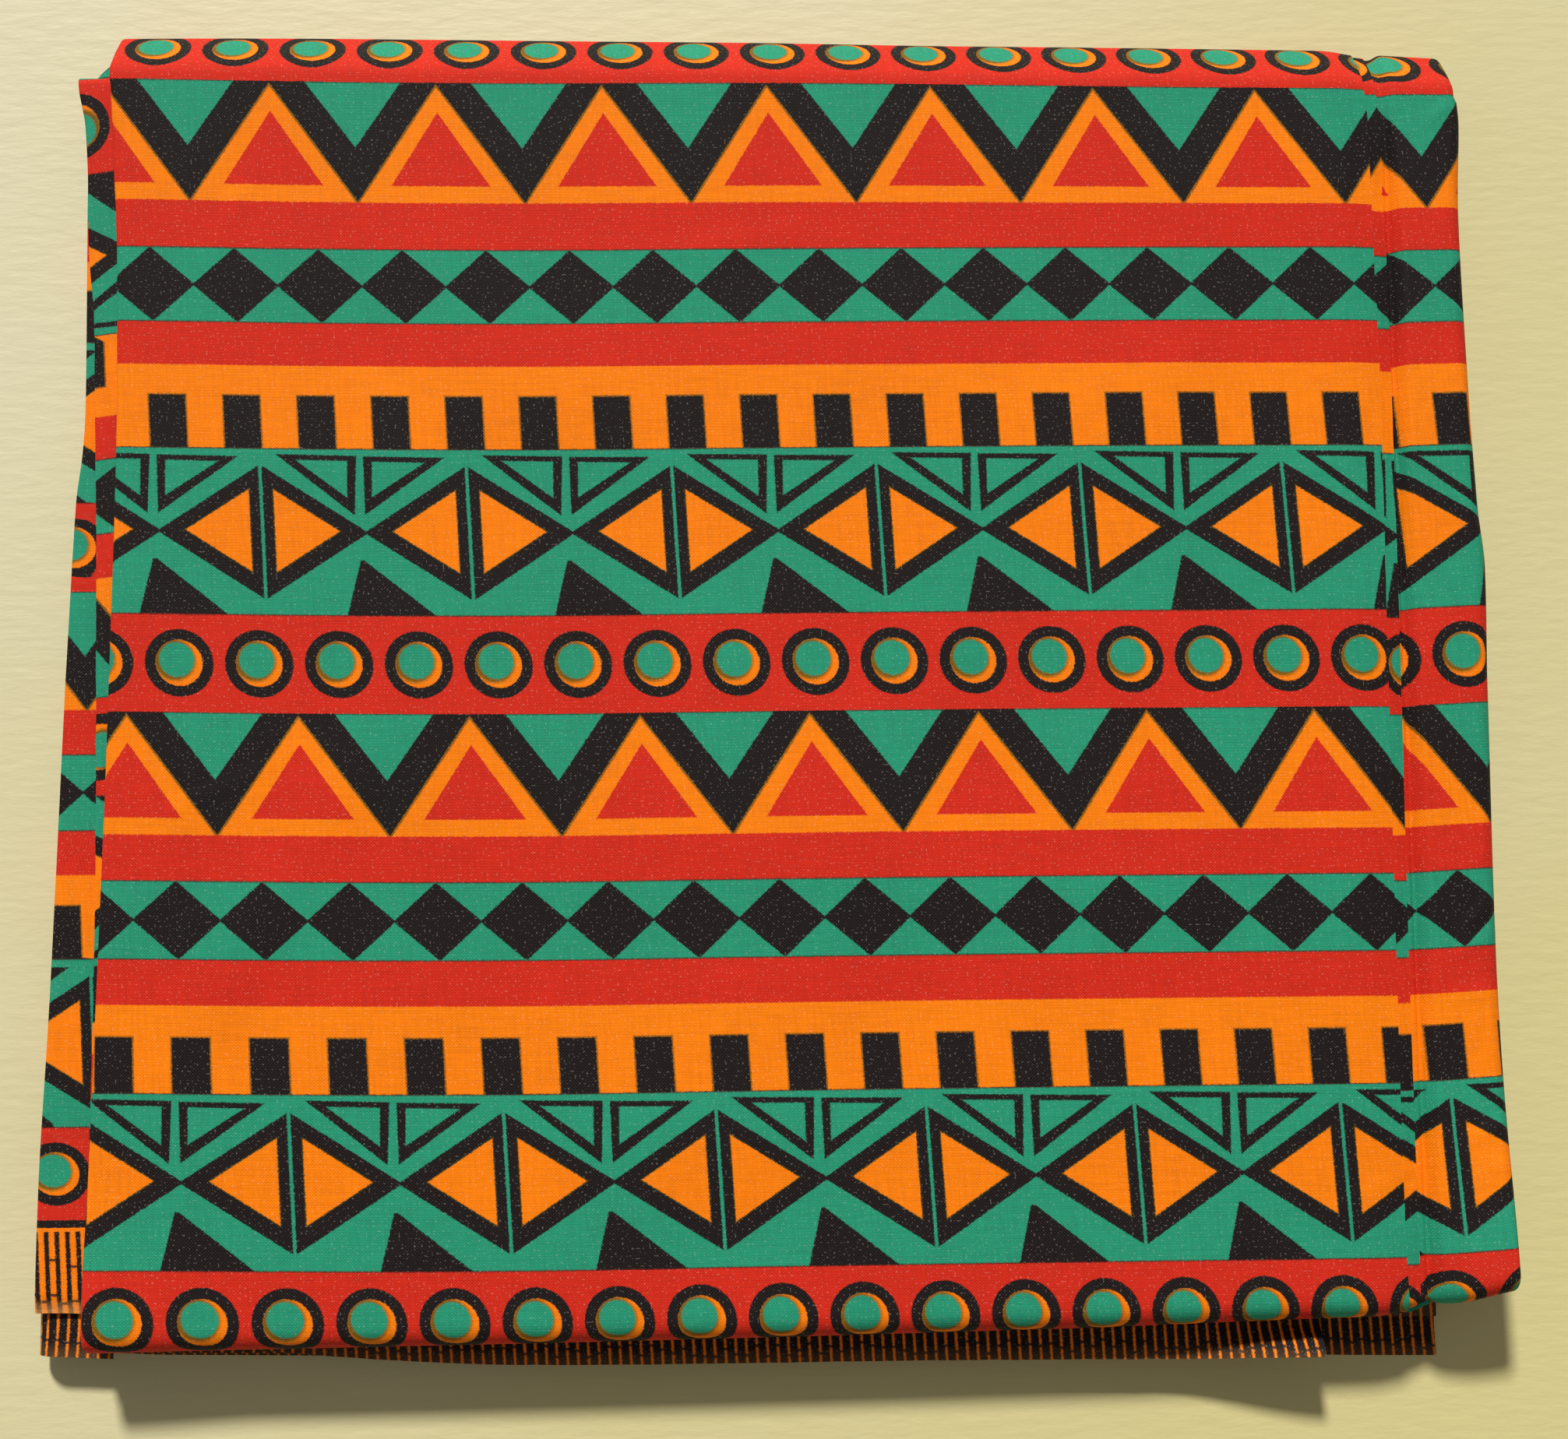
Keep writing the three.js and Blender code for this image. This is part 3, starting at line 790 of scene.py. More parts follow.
# %% How far each fold stands out
QUARTER = STACK / 4
FOLDS = 34  # folds to be seen at a side, in the whole height
FOLD_PITCH = STACK / FOLDS
# Right side of each quarter at the far and near end. At the left it keeps just behind
# the edge of the ply that shows above it.
RIGHT_SIDES = [(155.0, 145.8), (151.0, 145.4), (150.0, 151.0), (152.5, 151.5)]
BEHIND = 0.8
BLOCK_FOOT, BLOCK_TOP = 1.2, 17.6  # heights between which the block is built
NEAR_SIDE, FAR_SIDE = -143, 146  # y between which its left and right sides run
# Heights between which the block draws back, to leave room for a shown ply: lowest,
# highest, what it draws back from, and how far.
ROOM = [
    (16.4, 19.0, "left", -136.0),
    (12.7, 14.3, "left", -133.7),
    (8.2, 9.8, "left", -133.7),
    (8.2, 9.8, "near", -127.2),
    (14.9, 19.0, "right", 124.7),
    (17.4, 19.0, "right", 109.7),
]


def fold_edge(z, place, side):
    """How far a fold stands out at a height, at a place along its side."""
    fold = math.floor(z / FOLD_PITCH)
    phase = z / FOLD_PITCH - fold
    round_end = math.sqrt(max(0.0, 1 - (2 * phase - 1) ** 2)) - 1
    uneven = noise.noise(Vector((fold * 7.3, place / 60, side * 9.7)))
    own = math.sin(fold * 12.9 + side * 4.1)
    return 0.26 * round_end + 0.75 * uneven + 0.28 * own


def far_reach(z, deep):
    """How far the block, this deep inside the outer ply, goes beyond the top face."""
    inner = [(h - deep * math.cos(a), y - deep * math.sin(a)) for _, y, h, a in FAR_PROFILE]
    if z >= inner[0][0]:
        return 0.0
    for (high, start), (low, end) in zip(inner, inner[1:]):
        if low <= z <= high:
            return lerp(start, end, (high - z) / (high - low))
    return inner[-1][1]


print("fine folds:", FOLDS)

# %% [markdown]
# ## The outline of the block
#
# At each height the block follows the ply that shows there, a little behind its edge.
# It draws back further wherever a shown ply needs room. A boolean cut would leave a
# ragged mesh, so the outline itself is worked out afresh for each height.

# %% Outline at a height


def block_ring(z):
    """(x, y, side) round the block at a height."""
    quarter = min(3, int(z / QUARTER))
    left_edge = (LOWER_LEFT, LOWER_LEFT, THIRD_LEFT, TOP_LEFT)[quarter]
    far_right, near_right = RIGHT_SIDES[quarter]
    limits = {"left": -999.0, "near": -999.0, "right": 999.0}
    for low, high, side, limit in ROOM:
        if low <= z <= high:
            limits[side] = min(limits[side], limit) if side == "right" else limit

    def side_x(side, y):
        if side == "left":
            x = along(left_edge, y) + BEHIND - fold_edge(z, y, 1) + 4.0 * ease(y, 132, 146)
            return max(x, limits["left"])
        x = lerp(near_right, far_right, ease(y, NEAR_SIDE, FAR_SIDE)) - 4.0 * ease(y, 128, 144)
        return min(x + fold_edge(z, y, 2), limits["right"])

    def near_y(x):
        if quarter < 2:
            table = UPPER_SELVEDGE if quarter else LOWER_SELVEDGE
            y = along(table, x) + 1.4 - 0.5 * fold_edge(z, x, 3)
            y = lerp(y, -140.6 - 0.5 * fold_edge(z, x, 3), ease(x, 96, 114))
            return max(y, limits["near"])
        centre = along(NEAR_FOLD, x) + NEAR_RADIUS + 5.0 * ease(x, 136, 150)
        up, radius = z - (STACK - NEAR_RADIUS), NEAR_RADIUS - 0.5
        return centre - math.sqrt(radius**2 - up**2) if abs(up) < radius else centre + 3.4

    def far_y(x):
        drawn_in = 9.0 * (1 - ease(x, -156, -145)) + 3.0 * ease(x, 146, 155)
        # At the right the plies in front of the block lie deeper than the top one.
        return far_start(x) + far_reach(z, 0.6 + 2.8 * ease(x, 110, 122)) - drawn_in

    near_left, far_left = side_x("left", NEAR_SIDE), side_x("left", FAR_SIDE)
    near_end, far_end = side_x("right", NEAR_SIDE), side_x("right", FAR_SIDE)
    going = spread(near_y(near_end), far_y(far_end), 120)[:-1]
    coming = spread(far_y(far_left), near_y(near_left), 120)[:-1]
    ring = [(x, near_y(x), "near") for x in spread(near_left, near_end, 90)[:-1]]
    ring += [(side_x("right", y), y, "right") for y in going]
    ring += [(x, far_y(x), "far") for x in spread(far_end, far_left, 40)[:-1]]
    return ring + [(side_x("left", y), y, "left") for y in coming]


print("points in a ring:", len(block_ring(STACK / 2)))

# %% [markdown]
# ## The block from its rings
#
# Neighbouring rings are joined by faces, and the first and last are closed. Each fold
# is a stretch of cloth half a turn further on, so its print is shifted by that much.

# %% Build the block
SIDE_SHIFT = 308.7  # along the warp, from one fold to the next
ROUND_FOLD = 2.1  # warp that passes round a fold, for each millimetre of height


def layer_address(quarter, fold, side, x, y, z):
    """Where a point of a fold is on the flat cloth."""
    v = [first_v(x, y), fourth_v(y), third_v(x, y), top_v(y)][quarter]
    if side in ("near", "far"):
        return leaning(x, v) + fold * TURN_OF_CLOTH / 2, v
    u = fold * SIDE_SHIFT + ROUND_FOLD * (z - fold * FOLD_PITCH)
    return leaning(u, v) + 0.02 * y, v


def ring_heights():
    """Five to each fold, and two close together wherever the block steps back."""
    heights = [(fold + part) * FOLD_PITCH for fold in range(FOLDS)
               for part in (0.03, 0.22, 0.5, 0.78, 0.97)]
    for low, high, _, _ in ROOM:
        heights += [z + gap for z in (low, high) for gap in (-0.01, 0.01)]
    return sorted({round(z, 4) for z in heights if BLOCK_FOOT < z < BLOCK_TOP})


def build_inner_layers():
    """The closed block, ring by ring."""
    heights = ring_heights()
    rings = [block_ring(z) for z in heights]
    mesh = bpy.data.meshes.new("inner_layers")
    work = bmesh.new()
    uv = work.loops.layers.uv.new("print")
    count = len(rings[0])
    made = [[work.verts.new(Vector((x, y, z)) * MM) for x, y, _ in ring]
            for ring, z in zip(rings, heights)]
    for r in range(len(rings) - 1):
        middle = (heights[r] + heights[r + 1]) / 2
        quarter, fold = min(3, int(middle / QUARTER)), math.floor(middle / FOLD_PITCH)
        for i in range(count):
            j = (i + 1) % count
            corners = [(r, i), (r, j), (r + 1, j), (r + 1, i)]
            face = work.faces.new([made[a][b] for a, b in corners])
            face.smooth = True
            side = rings[r][i][2]
            for loop, (a, b) in zip(face.loops, corners):
                x, y, _ = rings[a][b]
                u, v = layer_address(quarter, fold, side, x, y, heights[a])
                loop[uv].uv = (u * MM, v * MM)
    work.faces.new(list(reversed(made[0])))
    work.faces.new(made[-1])
    bmesh.ops.recalc_face_normals(work, faces=work.faces)
    work.to_mesh(mesh)
    work.free()
    piece = bpy.data.objects.new("inner_layers", mesh)
    bpy.context.scene.collection.objects.link(piece)
    print("inner_layers faces:", len(mesh.polygons))
    return piece


inner_layers = build_inner_layers()
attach(inner_layers, "root")
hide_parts("folded_core")

# %% [markdown]
# ## Say how each sheet was cut
#
# Because the "cloth" map is the flat cloth itself, its size is the size of the cut,
# and its area is measured face by face.


def flat_cut(piece):
    """Size along warp and weft, and area, on the flat cloth, in metres."""
    uv = piece.data.uv_layers["cloth"].data
    area = 0.0
    for polygon in piece.data.polygons:
        corners = [uv[i].uv for i in polygon.loop_indices]
        twice = sum(a.cross(b) for a, b in zip(corners, corners[1:] + corners[:1]))
        area += abs(twice) / 2
    vs = [corner.uv.y for corner in uv]
    us = [corner.uv.x + LEAN * corner.uv.y for corner in uv]  # without the lean
    return max(us) - min(us), max(vs) - min(vs), area / 2  # the sheet has two faces


for piece, below in [
    (top_cloth, ["inner_layers", "second_cloth"]),
    (second_cloth, ["inner_layers", "right_cloth"]),
    (right_cloth, ["inner_layers"]),
    (third_cloth, ["inner_layers"]),
    (upper_selvedge_cloth, ["inner_layers"]),
    (selvedge_band, ["inner_layers"]),
    (lower_selvedge_cloth, ["inner_layers"]),
]:
    wide, long, area = flat_cut(piece)
    area = min(area, wide * long)
    print(piece.name, "cut: %.3f x %.3f m, %.4f m2" % (wide, long, area))

# %% [markdown]
# ## Shader maths as plain arithmetic
#
# A print made of triangles, bars and rings is easiest to write as distances: how far
# inside a shape a point is. The class below wraps a socket, so that such distances
# are written with + - * and each operator adds its Math node.

# %% A socket that does arithmetic


class Wire:
    """One output of a node. Arithmetic on it adds Math nodes."""

    def __init__(self, finish, socket):
        self.finish, self.socket = finish, socket

    def math(self, operation, *others, clamp=False):
        """A Math node that takes this value first."""
        settings = {"operation": operation, "use_clamp": clamp}
        return self.finish.add("ShaderNodeMath", settings, dict(enumerate((self, *others))))

    def reflected(self, operation, other):
        """The same with the other value first, as in 1 - mask."""
        return self.finish.add("ShaderNodeMath", {"operation": operation}, {0: other, 1: self})

    def __add__(self, other):
        return self.math("ADD", other)

    __radd__ = __add__

    def __sub__(self, other):
        return self.math("SUBTRACT", other)

    def __rsub__(self, other):
        return self.reflected("SUBTRACT", other)

    def __mul__(self, other):
        return self.math("MULTIPLY", other)

    __rmul__ = __mul__

    def __truediv__(self, other):
        return self.math("DIVIDE", other)

    def __abs__(self):
        return self.math("ABSOLUTE")

    def __and__(self, other):
        return self.math("MINIMUM", other)

    def __or__(self, other):
        return self.math("MAXIMUM", other)


print("operators:", "+ - * / abs & |")

# %% [markdown]
# ## A material and its nodes
#
# A finish is a material whose nodes are added one by one. One method adds any node, and
# the others are short ways to the few that this cloth needs most.

# %% A material that takes nodes


class Finish:
    """A material, and the nodes that are added to it."""

    def __init__(self, name):
        self.material = bpy.data.materials.new(name)
        self.material.use_nodes = True
        self.tree = self.material.node_tree
        self.tree.nodes.clear()

    def add(self, kind, settings=None, inputs=None, output=0):
        """Any node: its kind, its settings, and the values or links of its sockets."""
        node = self.tree.nodes.new(kind)
        for key, value in (settings or {}).items():
            setattr(node, key, value)
        for key, value in (inputs or {}).items():
            if isinstance(value, Wire):
                self.tree.links.new(value.socket, node.inputs[key])
            else:
                node.inputs[key].default_value = value
        return Wire(self, node.outputs[output])

    def mix(self, factor, first, second, blend="MIX"):
        """A colour between two, by a factor."""
        settings = {"data_type": "RGBA", "blend_type": blend}
        return self.add("ShaderNodeMix", settings, {0: factor, 6: first, 7: second}, output=2)

    def vector(self, operation, inputs, output=0):
        """A Vector Math node."""
        return self.add("ShaderNodeVectorMath", {"operation": operation}, inputs, output)

    def part(self, vector, axis):
        """One number out of a vector: 0 for x, 1 for y."""
        return self.add("ShaderNodeSeparateXYZ", None, {0: vector}, output=axis)

    def reach(self, x, y):
        """Distance from the origin."""
        point = self.add("ShaderNodeCombineXYZ", None, {0: x, 1: y, 2: 0.0})
        return self.vector("LENGTH", {0: point}, output=1)

    def flat_noise(self, at, scale, detail, output=0):
        """Noise over the flat cloth, 0 to 1: the value, or with output 1 the colour."""
        inputs = {"Vector": at, "Scale": scale, "Detail": detail}
        return self.add("ShaderNodeTexNoise", {"noise_dimensions": "2D"}, inputs, output)

    def surface(self, inputs):
        """The shader that these inputs make, and the end of the material."""
        shader = self.add("ShaderNodeBsdfPrincipled", None, inputs)
        end = self.tree.nodes.new("ShaderNodeOutputMaterial")
        self.tree.links.new(shader.socket, end.inputs["Surface"])


def srgb(red, green, blue):
    """A screen colour, 0 to 255, as the linear colour a shader wants."""

    def linear(value):
        value /= 255
        return value / 12.92 if value <= 0.04045 else ((value + 0.055) / 1.055) ** 2.4

    return (linear(red), linear(green), linear(blue), 1.0)


print("shader helpers ready")

# %% [markdown]
# ## The bands of the print
#
# Seven bands repeat across the cloth: zigzag triangles, a plain red stripe, diamonds,
# another stripe, bars, paired triangles, and rings. Each is drawn by formula from its
# own period and start along the warp, as a block cutter would space a block. An edge
# is a quarter of a millimetre soft, because wax and dye creep along the threads.

# %% Colours and distances
RED = srgb(212, 42, 24)
ORANGE = srgb(255, 131, 2)
GREEN = srgb(38, 152, 120)
BLACK = srgb(28, 22, 23)
OLIVE = srgb(96, 84, 16)
PEACH = srgb(255, 190, 120)

SOFTNESS = 0.24  # of a printed edge
# Where each band starts, in millimetres across one repeat.
ZIGZAG, STRIPE_A, DIAMONDS, STRIPE_B = 0.0, 26.97, 37.03, 54.0
BARS, TRIANGLES, RINGS = 63.88, 82.81, 120.2
# Period along the warp and where a figure stands.
ZIGZAG_STEP, ZIGZAG_AT = 37.4, -123.0
BAR_STEP, BAR_AT, BAR_WIDTH = 16.44, -130.05, 8.1
CROSS_STEP, CROSS_AT = 45.65, -133.0
RING_STEP, RING_AT = 17.49, -129.8
DIAMOND_MIDDLE, DIAMOND_REACH = 45.5, 8.3  # across the band
RING, DISC, EYE = 7.5, 5.1, 3.85  # radii


def inside(distance, softness=SOFTNESS):
    """1 inside a shape, 0 outside, from the distance inside its edge."""
    return distance.math("MULTIPLY_ADD", 1 / softness, 0.5, clamp=True)


def from_nearest(u, at, step):
    """Distance from the nearest of a row of places, never negative."""
    return (u - at).math("PINGPONG", step / 2)


def signed(u, at, step):
    """The same with its sign: negative before the place and positive after."""
    return (u - at).math("WRAP", step / 2, -step / 2)


def below_line(x, y, start, end):
    """Distance below a line from start to end, where y grows downwards."""
    (x1, y1), (x2, y2) = start, end
    run, drop = x2 - x1, y2 - y1
    length = math.hypot(run, drop)
    return (y - y1) * (run / length) - (x - x1) * (drop / length)


def inside_corners(x, y, corners):
    """Distance inside a convex figure, given clockwise as seen on the cloth."""
    distance = None
    for start, end in zip(corners, corners[1:] + corners[:1]):
        line = below_line(x, y, start, end)
        distance = line if distance is None else distance & line
    return distance


print("bands:", 7)

# %% [markdown]
# ## One band after another
#
# Each figure starts as a distance inside its outline. For a straight line that is one
# product, for a ring it is a length, and the smallest of several lines gives a convex
# figure. Colours are then laid over each other, as a printer lays one dye after
# another. An image would be quicker to place, but it would blur near by.

# %% The bands


def band(w, start, end):
    """1 between two places across the repeat."""
    return inside((w - start) & (end - w))


def print_colour(cloth, u, v):
    """The colour of the print at a place on the flat cloth, in millimetres."""
    w = v.math("FLOORED_MODULO", REPEAT)

    # Zigzag: black V on orange, with a green wedge above and a red wedge between.
    half = ZIGZAG_STEP / 2
    a = from_nearest(u, ZIGZAG_AT, ZIGZAG_STEP)
    vee = below_line(a, w, (0.0, 26.97), (half, 0.5))
    wedge = below_line(a, w, (0.0, 14.8), (10.6, 0.3))
    zigzag = cloth.mix(inside(vee), BLACK, ORANGE)
    zigzag = cloth.mix(inside(0.22 - abs(vee - 0.15)) * 0.8, zigzag, OLIVE)
    zigzag = cloth.mix(inside(-1 * wedge), zigzag, GREEN)
    inner = below_line(a, w, (half - 11.1, 23.3), (half, 6.8)) & (23.3 - w)
    zigzag = cloth.mix(inside(inner), zigzag, RED)

    # Diamonds on green.
    half = ZIGZAG_STEP / 4
    c = from_nearest(u, ZIGZAG_AT, ZIGZAG_STEP / 2)
    off = abs(w - DIAMOND_MIDDLE)
    diamond = (c * (DIAMOND_REACH / half) - off + 0.25) * 0.74 & (DIAMOND_REACH - off)
    diamonds = cloth.mix(inside(diamond), GREEN, BLACK)

    # Bars on orange.
    bar = (BAR_WIDTH / 2 - from_nearest(u, BAR_AT, BAR_STEP)) & (w - (BARS + 6.9))
    bars = cloth.mix(inside(0.2 - abs(bar + 0.1)) * 0.7, ORANGE, OLIVE)
    bars = cloth.mix(inside(bar), bars, BLACK)

    # Paired triangles that meet in a cross, two outlined ones above and a shard below.
    x = signed(u, CROSS_AT, CROSS_STEP)
    y = w - (TRIANGLES + 18.8)
    a = abs(x)
    half = CROSS_STEP / 2
    outer = below_line(a, -1 * abs(y), (0.0, -0.35), (half, -15.2)) & (half - 0.36 - a)
    pane = below_line(a, -1 * abs(y + 0.3), (5.9, 0.0), (20.4, -9.4)) & (20.1 - a)
    triangles = cloth.mix(inside(outer), GREEN, BLACK)
    triangles = cloth.mix(inside(0.22 - abs(pane)) * 0.6, triangles, OLIVE)
    triangles = cloth.mix(inside(pane), triangles, ORANGE)
    left = inside_corners(x, y, [(-19.3, -17.6), (-1.4, -17.3), (-2.4, -3.9)])
    left_pane = inside_corners(x, y, [(-14.9, -16.3), (-3.5, -16.1), (-3.9, -7.9)])
    right = inside_corners(x, y, [(0.1, -17.2), (18.1, -17.0), (-0.1, -4.0)])
    right_pane = inside_corners(x, y, [(2.0, -16.0), (13.6, -15.8), (1.6, -8.0)])
    outlined = inside(left | right) * (1 - inside(left_pane | right_pane))
    shard = inside_corners(x, y, [(-1.6, 6.2), (-0.8, 6.2), (15.5, 19.4), (-5.3, 19.4)])
    triangles = cloth.mix(outlined | inside(shard), triangles, BLACK)

    # Rings on red: a black ring, an orange disc and a green one set off to the left.
    x = signed(u, RING_AT, RING_STEP)
    y = w - (RINGS + 10.9)
    r = cloth.reach(x, y)
    rings = cloth.mix(inside(RING - r), RED, BLACK)
    rings = cloth.mix(inside(DISC - r), rings, ORANGE)
    halo = inside(4.6 - cloth.reach(x + 1.0, y + 0.6), 0.9) * inside(DISC - r)
    rings = cloth.mix(halo * 0.9, rings, OLIVE)
    rings = cloth.mix(inside(EYE - cloth.reach(x + 0.5, y + 0.7), 0.4), rings, GREEN)

    colour = cloth.mix(band(w, ZIGZAG, STRIPE_A), RED, zigzag)
    colour = cloth.mix(band(w, DIAMONDS, STRIPE_B), colour, diamonds)
    colour = cloth.mix(band(w, BARS, TRIANGLES), colour, bars)
    colour = cloth.mix(band(w, TRIANGLES, RINGS), colour, triangles)
    colour = cloth.mix(band(w, RINGS, REPEAT + 1), colour, rings)
    # A thin dark line runs along some of the band edges.
    for edge in (0.1, DIAMONDS, STRIPE_B, TRIANGLES, RINGS):
        colour = cloth.mix(inside(0.16 - abs(w - edge)) * 0.75, colour, BLACK)
    return colour


print("inks:", 5)

# %% [markdown]
# ## The selvedge
#
# Both edges of the cloth carry fine upright bars instead of the bands. Each bar is
# broken at two places. They differ from bar to bar, by a noise that is drawn from the
# bar's own number, so no two neighbours look alike.

# %% The selvedge's bars
SELVEDGE_PITCH = 2.3  # of its bars
SELVEDGE_BAND = 21.3  # width that they take


def selvedge_colour(cloth, u, s):
    """Upright bars and two lines. s is the distance from the selvedge."""
    number = (u / SELVEDGE_PITCH).math("FLOOR")
    chance = cloth.add("ShaderNodeTexWhiteNoise", {"noise_dimensions": "1D"}, {"W": number})
    heavy = inside(u + 168, 12.0)  # the bars are printed fuller along the near band
    half_bar = SELVEDGE_PITCH * (0.23 + 0.155 * heavy)
    bar = inside(from_nearest(u, 0.0, SELVEDGE_PITCH) * -1 + half_bar, 0.3)
    colour = cloth.mix(1 - bar, BLACK, ORANGE)
    # A bar is broken at two places, which differ from bar to bar.
    odd = number.math("FLOORED_MODULO", 2.0)
    high = s - (9.0 + 3.2 * chance) - odd * 30
    low = s - (1.4 + 3.0 * chance)
    gap = inside(0.3 - abs(high)) | inside(0.3 - abs(low))
    colour = cloth.mix(gap * 0.9, colour, BLACK)
    colour = cloth.mix(inside(s - 18.6), colour, ORANGE)
    colour = cloth.mix(inside(s - 19.5), colour, BLACK)
    paling = inside(2.0 - s, 2.5) * (1 - heavy * 0.8)  # the very edge is paler, and less so along the near band
    return cloth.mix(paling * 0.35, colour, PEACH)


print("selvedge bars every", SELVEDGE_PITCH, "mm")

# %% [markdown]
# ## Printed cotton
#
# The cloth is a plain weave, two threads to 0.7 mm. The weave gives three things: a
# bump, a painted highlight (lighter thread crests and a faint speckle of bright specks
# over the dark print), and a soft sheen. All of them come from the same map as the
# print, so they turn with the cloth at every fold.

# %% The printed cotton material
THREAD = 0.35  # pitch of the threads, in millimetres
CREEP = 0.42  # of the dye


def printed_cotton(name, shade=1.0, bump=0.35):
    """Printed plain weave, on the map called print."""
    cloth = Finish(name)
    uv = cloth.add("ShaderNodeUVMap", {"uv_map": "print"})
    at = cloth.vector("SCALE", {0: uv, "Scale": 1 / MM})
    u, v = cloth.part(at, 0), cloth.part(at, 1)

    # Dye creeps along the threads, so an edge is a little ragged.
    ragged = cloth.flat_noise(at, 2.1, 1.0, output=1)
    red = cloth.add("ShaderNodeSeparateColor", None, {0: ragged}, output=0)
    green = cloth.add("ShaderNodeSeparateColor", None, {0: ragged}, output=1)
    u_print = u + (red - 0.5) * CREEP
    v_print = v + (green - 0.5) * CREEP

    colour = print_colour(cloth, u_print, v_print)
    s = (v_print - FIRST_EDGE) & (LAST_EDGE - v_print)
    selvedge = selvedge_colour(cloth, u_print, s)
    colour = cloth.mix(inside(SELVEDGE_BAND - s), colour, selvedge)

    # Plain weave: warp and weft threads pass over each other in turn.
    along_u = (u * (math.pi / THREAD)).math("SINE")
    along_v = (v * (math.pi / THREAD)).math("SINE")
    over = along_u * along_v
    weave = abs(over)

    def threads(stretch):
        """Each thread is a little lighter or darker than its neighbours."""
        return cloth.flat_noise(cloth.vector("MULTIPLY", {0: at, 1: stretch}), 1.0, 1.0)

    thread_noise = (threads((0.12, 1.4, 1.0)) + threads((1.4, 0.12, 1.0))) * 0.5
    broad = cloth.flat_noise(at, 0.035, 2.0)
    crest = over.math("MAXIMUM", 0.0)
    # crest * 0.26 is a painted highlight on the thread crests; the two noises are the threads'
    # own uneven tone.
    value = (0.89 + crest * 0.26 + (thread_noise - 0.5) * 0.4 + (broad - 0.5) * 0.12) * shade
    colour = cloth.vector("SCALE", {0: colour, "Scale": value})

    # Painted highlight: here and there a thread crest is lit up as a bright speck, and every
    # crest a little.
    painted_glints = inside(cloth.flat_noise(at, 1.9, 0.0) - 0.79, 0.06) * 0.09 + crest * 0.02
    colour = cloth.mix(painted_glints, colour, srgb(255, 250, 240))

    relief = weave + (thread_noise - 0.5) * 0.5
    normal = cloth.add("ShaderNodeBump", None,
                       {"Strength": bump, "Distance": 0.00012, "Height": relief})
    cloth.surface({
        "Base Color": colour,
        "Roughness": 0.62 + (thread_noise - 0.5) * 0.3,
        "Specular IOR Level": 0.08,
        "Sheen Weight": 0.01,
        "Sheen Roughness": 0.4,
        "Normal": normal,
    })
    print(name, "nodes:", len(cloth.tree.nodes))
    return cloth.material


wax_print = printed_cotton("wax_print_cotton")
# The inner block gets the same print darkened by shade=0.92: painted shade on the stacked folds.
ply_edges = printed_cotton("stacked_ply_folds", shade=0.92, bump=0.2)

for piece in (top_cloth, second_cloth, right_cloth, third_cloth, upper_selvedge_cloth,
              selvedge_band, lower_selvedge_cloth):
    piece.data.materials.clear()
    piece.data.materials.append(wax_print)
inner_layers.data.materials.clear()
inner_layers.data.materials.append(ply_edges)

# %% [markdown]
# ## Floor
#
# The cloth lies on a plain pale floor. A plane with a bare colour would look like
# paper, so the paint gets a fine grain and a faint cloudiness, both by noise.

# %% Floor
bpy.ops.object.select_all(action="DESELECT")
bpy.ops.mesh.primitive_plane_add(size=6.0, location=(0, 0, 0))
floor = bpy.context.object
floor.name = "floor"
paint = Finish("pale_floor_paint")
place = paint.add("ShaderNodeTexCoord", output=3)
drawn = paint.vector("MULTIPLY", {0: place, 1: (0.3, 1.0, 1.0)})
grain = paint.add("ShaderNodeTexNoise", None, {"Vector": drawn, "Scale": 420.0, "Detail": 4.0})
cloudy = paint.add("ShaderNodeTexNoise", None, {"Vector": place, "Scale": 9.0, "Detail": 3.0})
# It's a little paler towards the far left.
paling = paint.part(place, 1) * 1.2 - paint.part(place, 0) * 1.6 + 0.42
pale = paling.math("ADD", (cloudy - 0.5) * 0.7, clamp=True)
tone = paint.mix(pale, srgb(212, 203, 146), srgb(219, 214, 184))
relief = paint.add("ShaderNodeBump", None,
                   {"Strength": 0.25, "Distance": 0.0006, "Height": grain})
paint.surface({"Base Color": tone, "Roughness": 0.5, "Normal": relief})
floor.data.materials.append(paint.material)
print("floor ready")

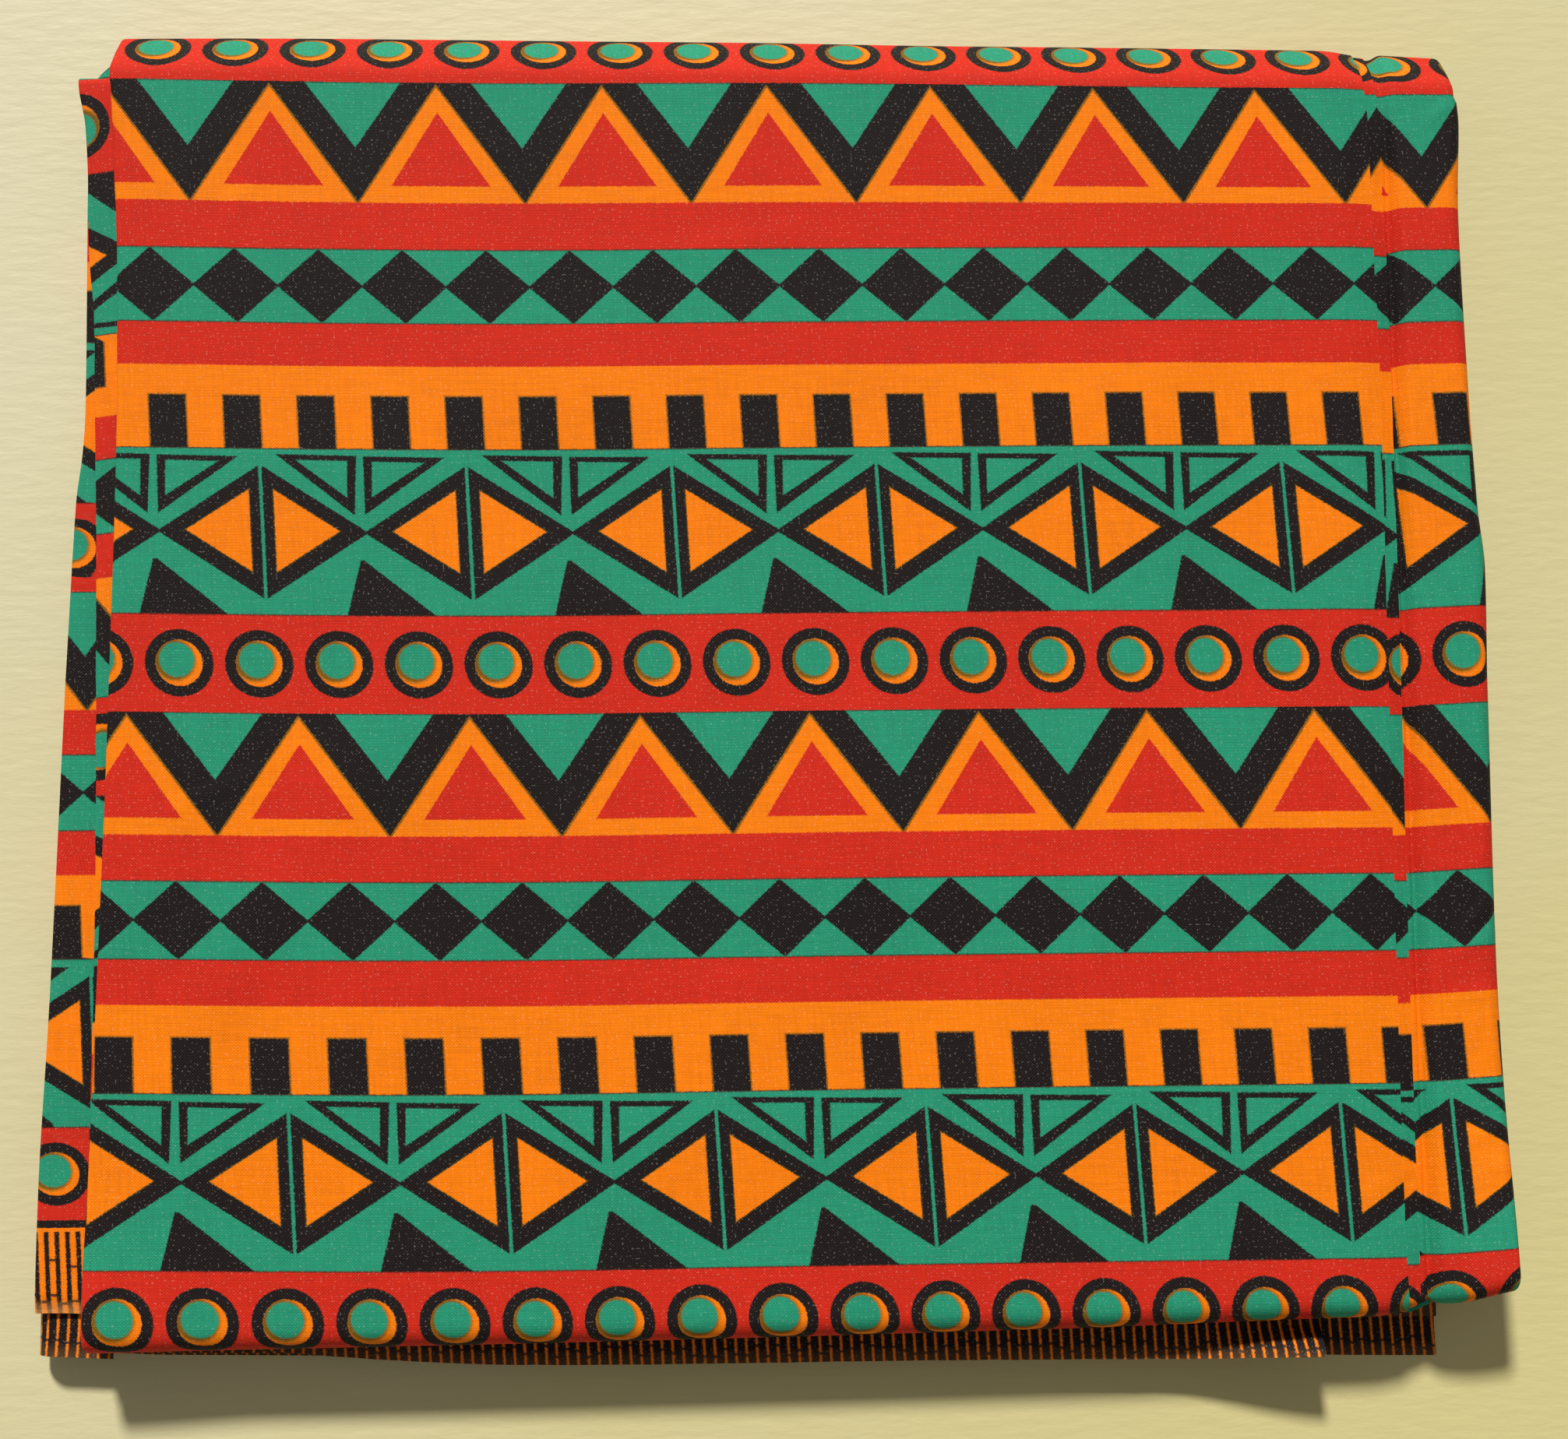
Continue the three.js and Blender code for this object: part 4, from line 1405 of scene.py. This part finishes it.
# %% [markdown]
# ## Light
#
# One lamp from the far side, a little to the left, throws the short shadow under the
# near fold. Its angle makes the shadow's edge soft. A dim warm sky fills the rest.

# %% Light
KEY_FROM = Vector((-0.2, 1.0, 0.90)).normalized()
bpy.ops.object.light_add(type="SUN", location=KEY_FROM * 2)
key = bpy.context.object
key.name = "key_light"
key.data.energy = 3.85
key.data.angle = math.radians(7)
key.data.color = (1.0, 0.965, 0.90)
key.rotation_euler = (-KEY_FROM).to_track_quat("-Z", "Y").to_euler()

world = bpy.context.scene.world or bpy.data.worlds.new("soft_sky")
bpy.context.scene.world = world
world.use_nodes = True
sky = world.node_tree.nodes["Background"]
sky.inputs["Color"].default_value = (1.0, 0.96, 0.84, 1.0)
sky.inputs["Strength"].default_value = 0.22
bpy.context.scene.view_settings.view_transform = "Standard"
print("lights ready")

# %% [markdown]
# ## Camera
#
# The camera hangs half a metre above the cloth and looks almost straight down. Three
# small angles say how far it is off: tilted from the near side, leaning to the left,
# and rolled about its own axis. Its axes are built from them and go into its matrix.

# %% Camera
TILT, LEAN_LEFT, ROLL = math.radians(6.04898), math.radians(1.22140), math.radians(-0.34355)
CAMERA_AT = Vector((-7.82, -59.13, 496.77)) * MM
back = Vector((-math.sin(LEAN_LEFT), -math.sin(TILT), 0))
back.z = math.sqrt(1 - back.length_squared)
right = (Vector((1, 0, 0)) - back.x * back).normalized()
up = back.cross(right)
turned_right = math.cos(ROLL) * right + math.sin(ROLL) * up
turned_up = math.cos(ROLL) * up - math.sin(ROLL) * right
camera_data = bpy.data.cameras.new("camera")
camera = bpy.data.objects.new("camera", camera_data)
bpy.context.scene.collection.objects.link(camera)
axes = Matrix((turned_right, turned_up, back)).transposed().to_4x4()
camera.matrix_world = Matrix.Translation(CAMERA_AT) @ axes
camera_data.lens = 50.0
camera_data.sensor_width = 36.0
camera_data.sensor_fit = "HORIZONTAL"
camera_data.clip_start = 0.01
bpy.context.scene.camera = camera
print("camera at", [round(c, 3) for c in camera.location])
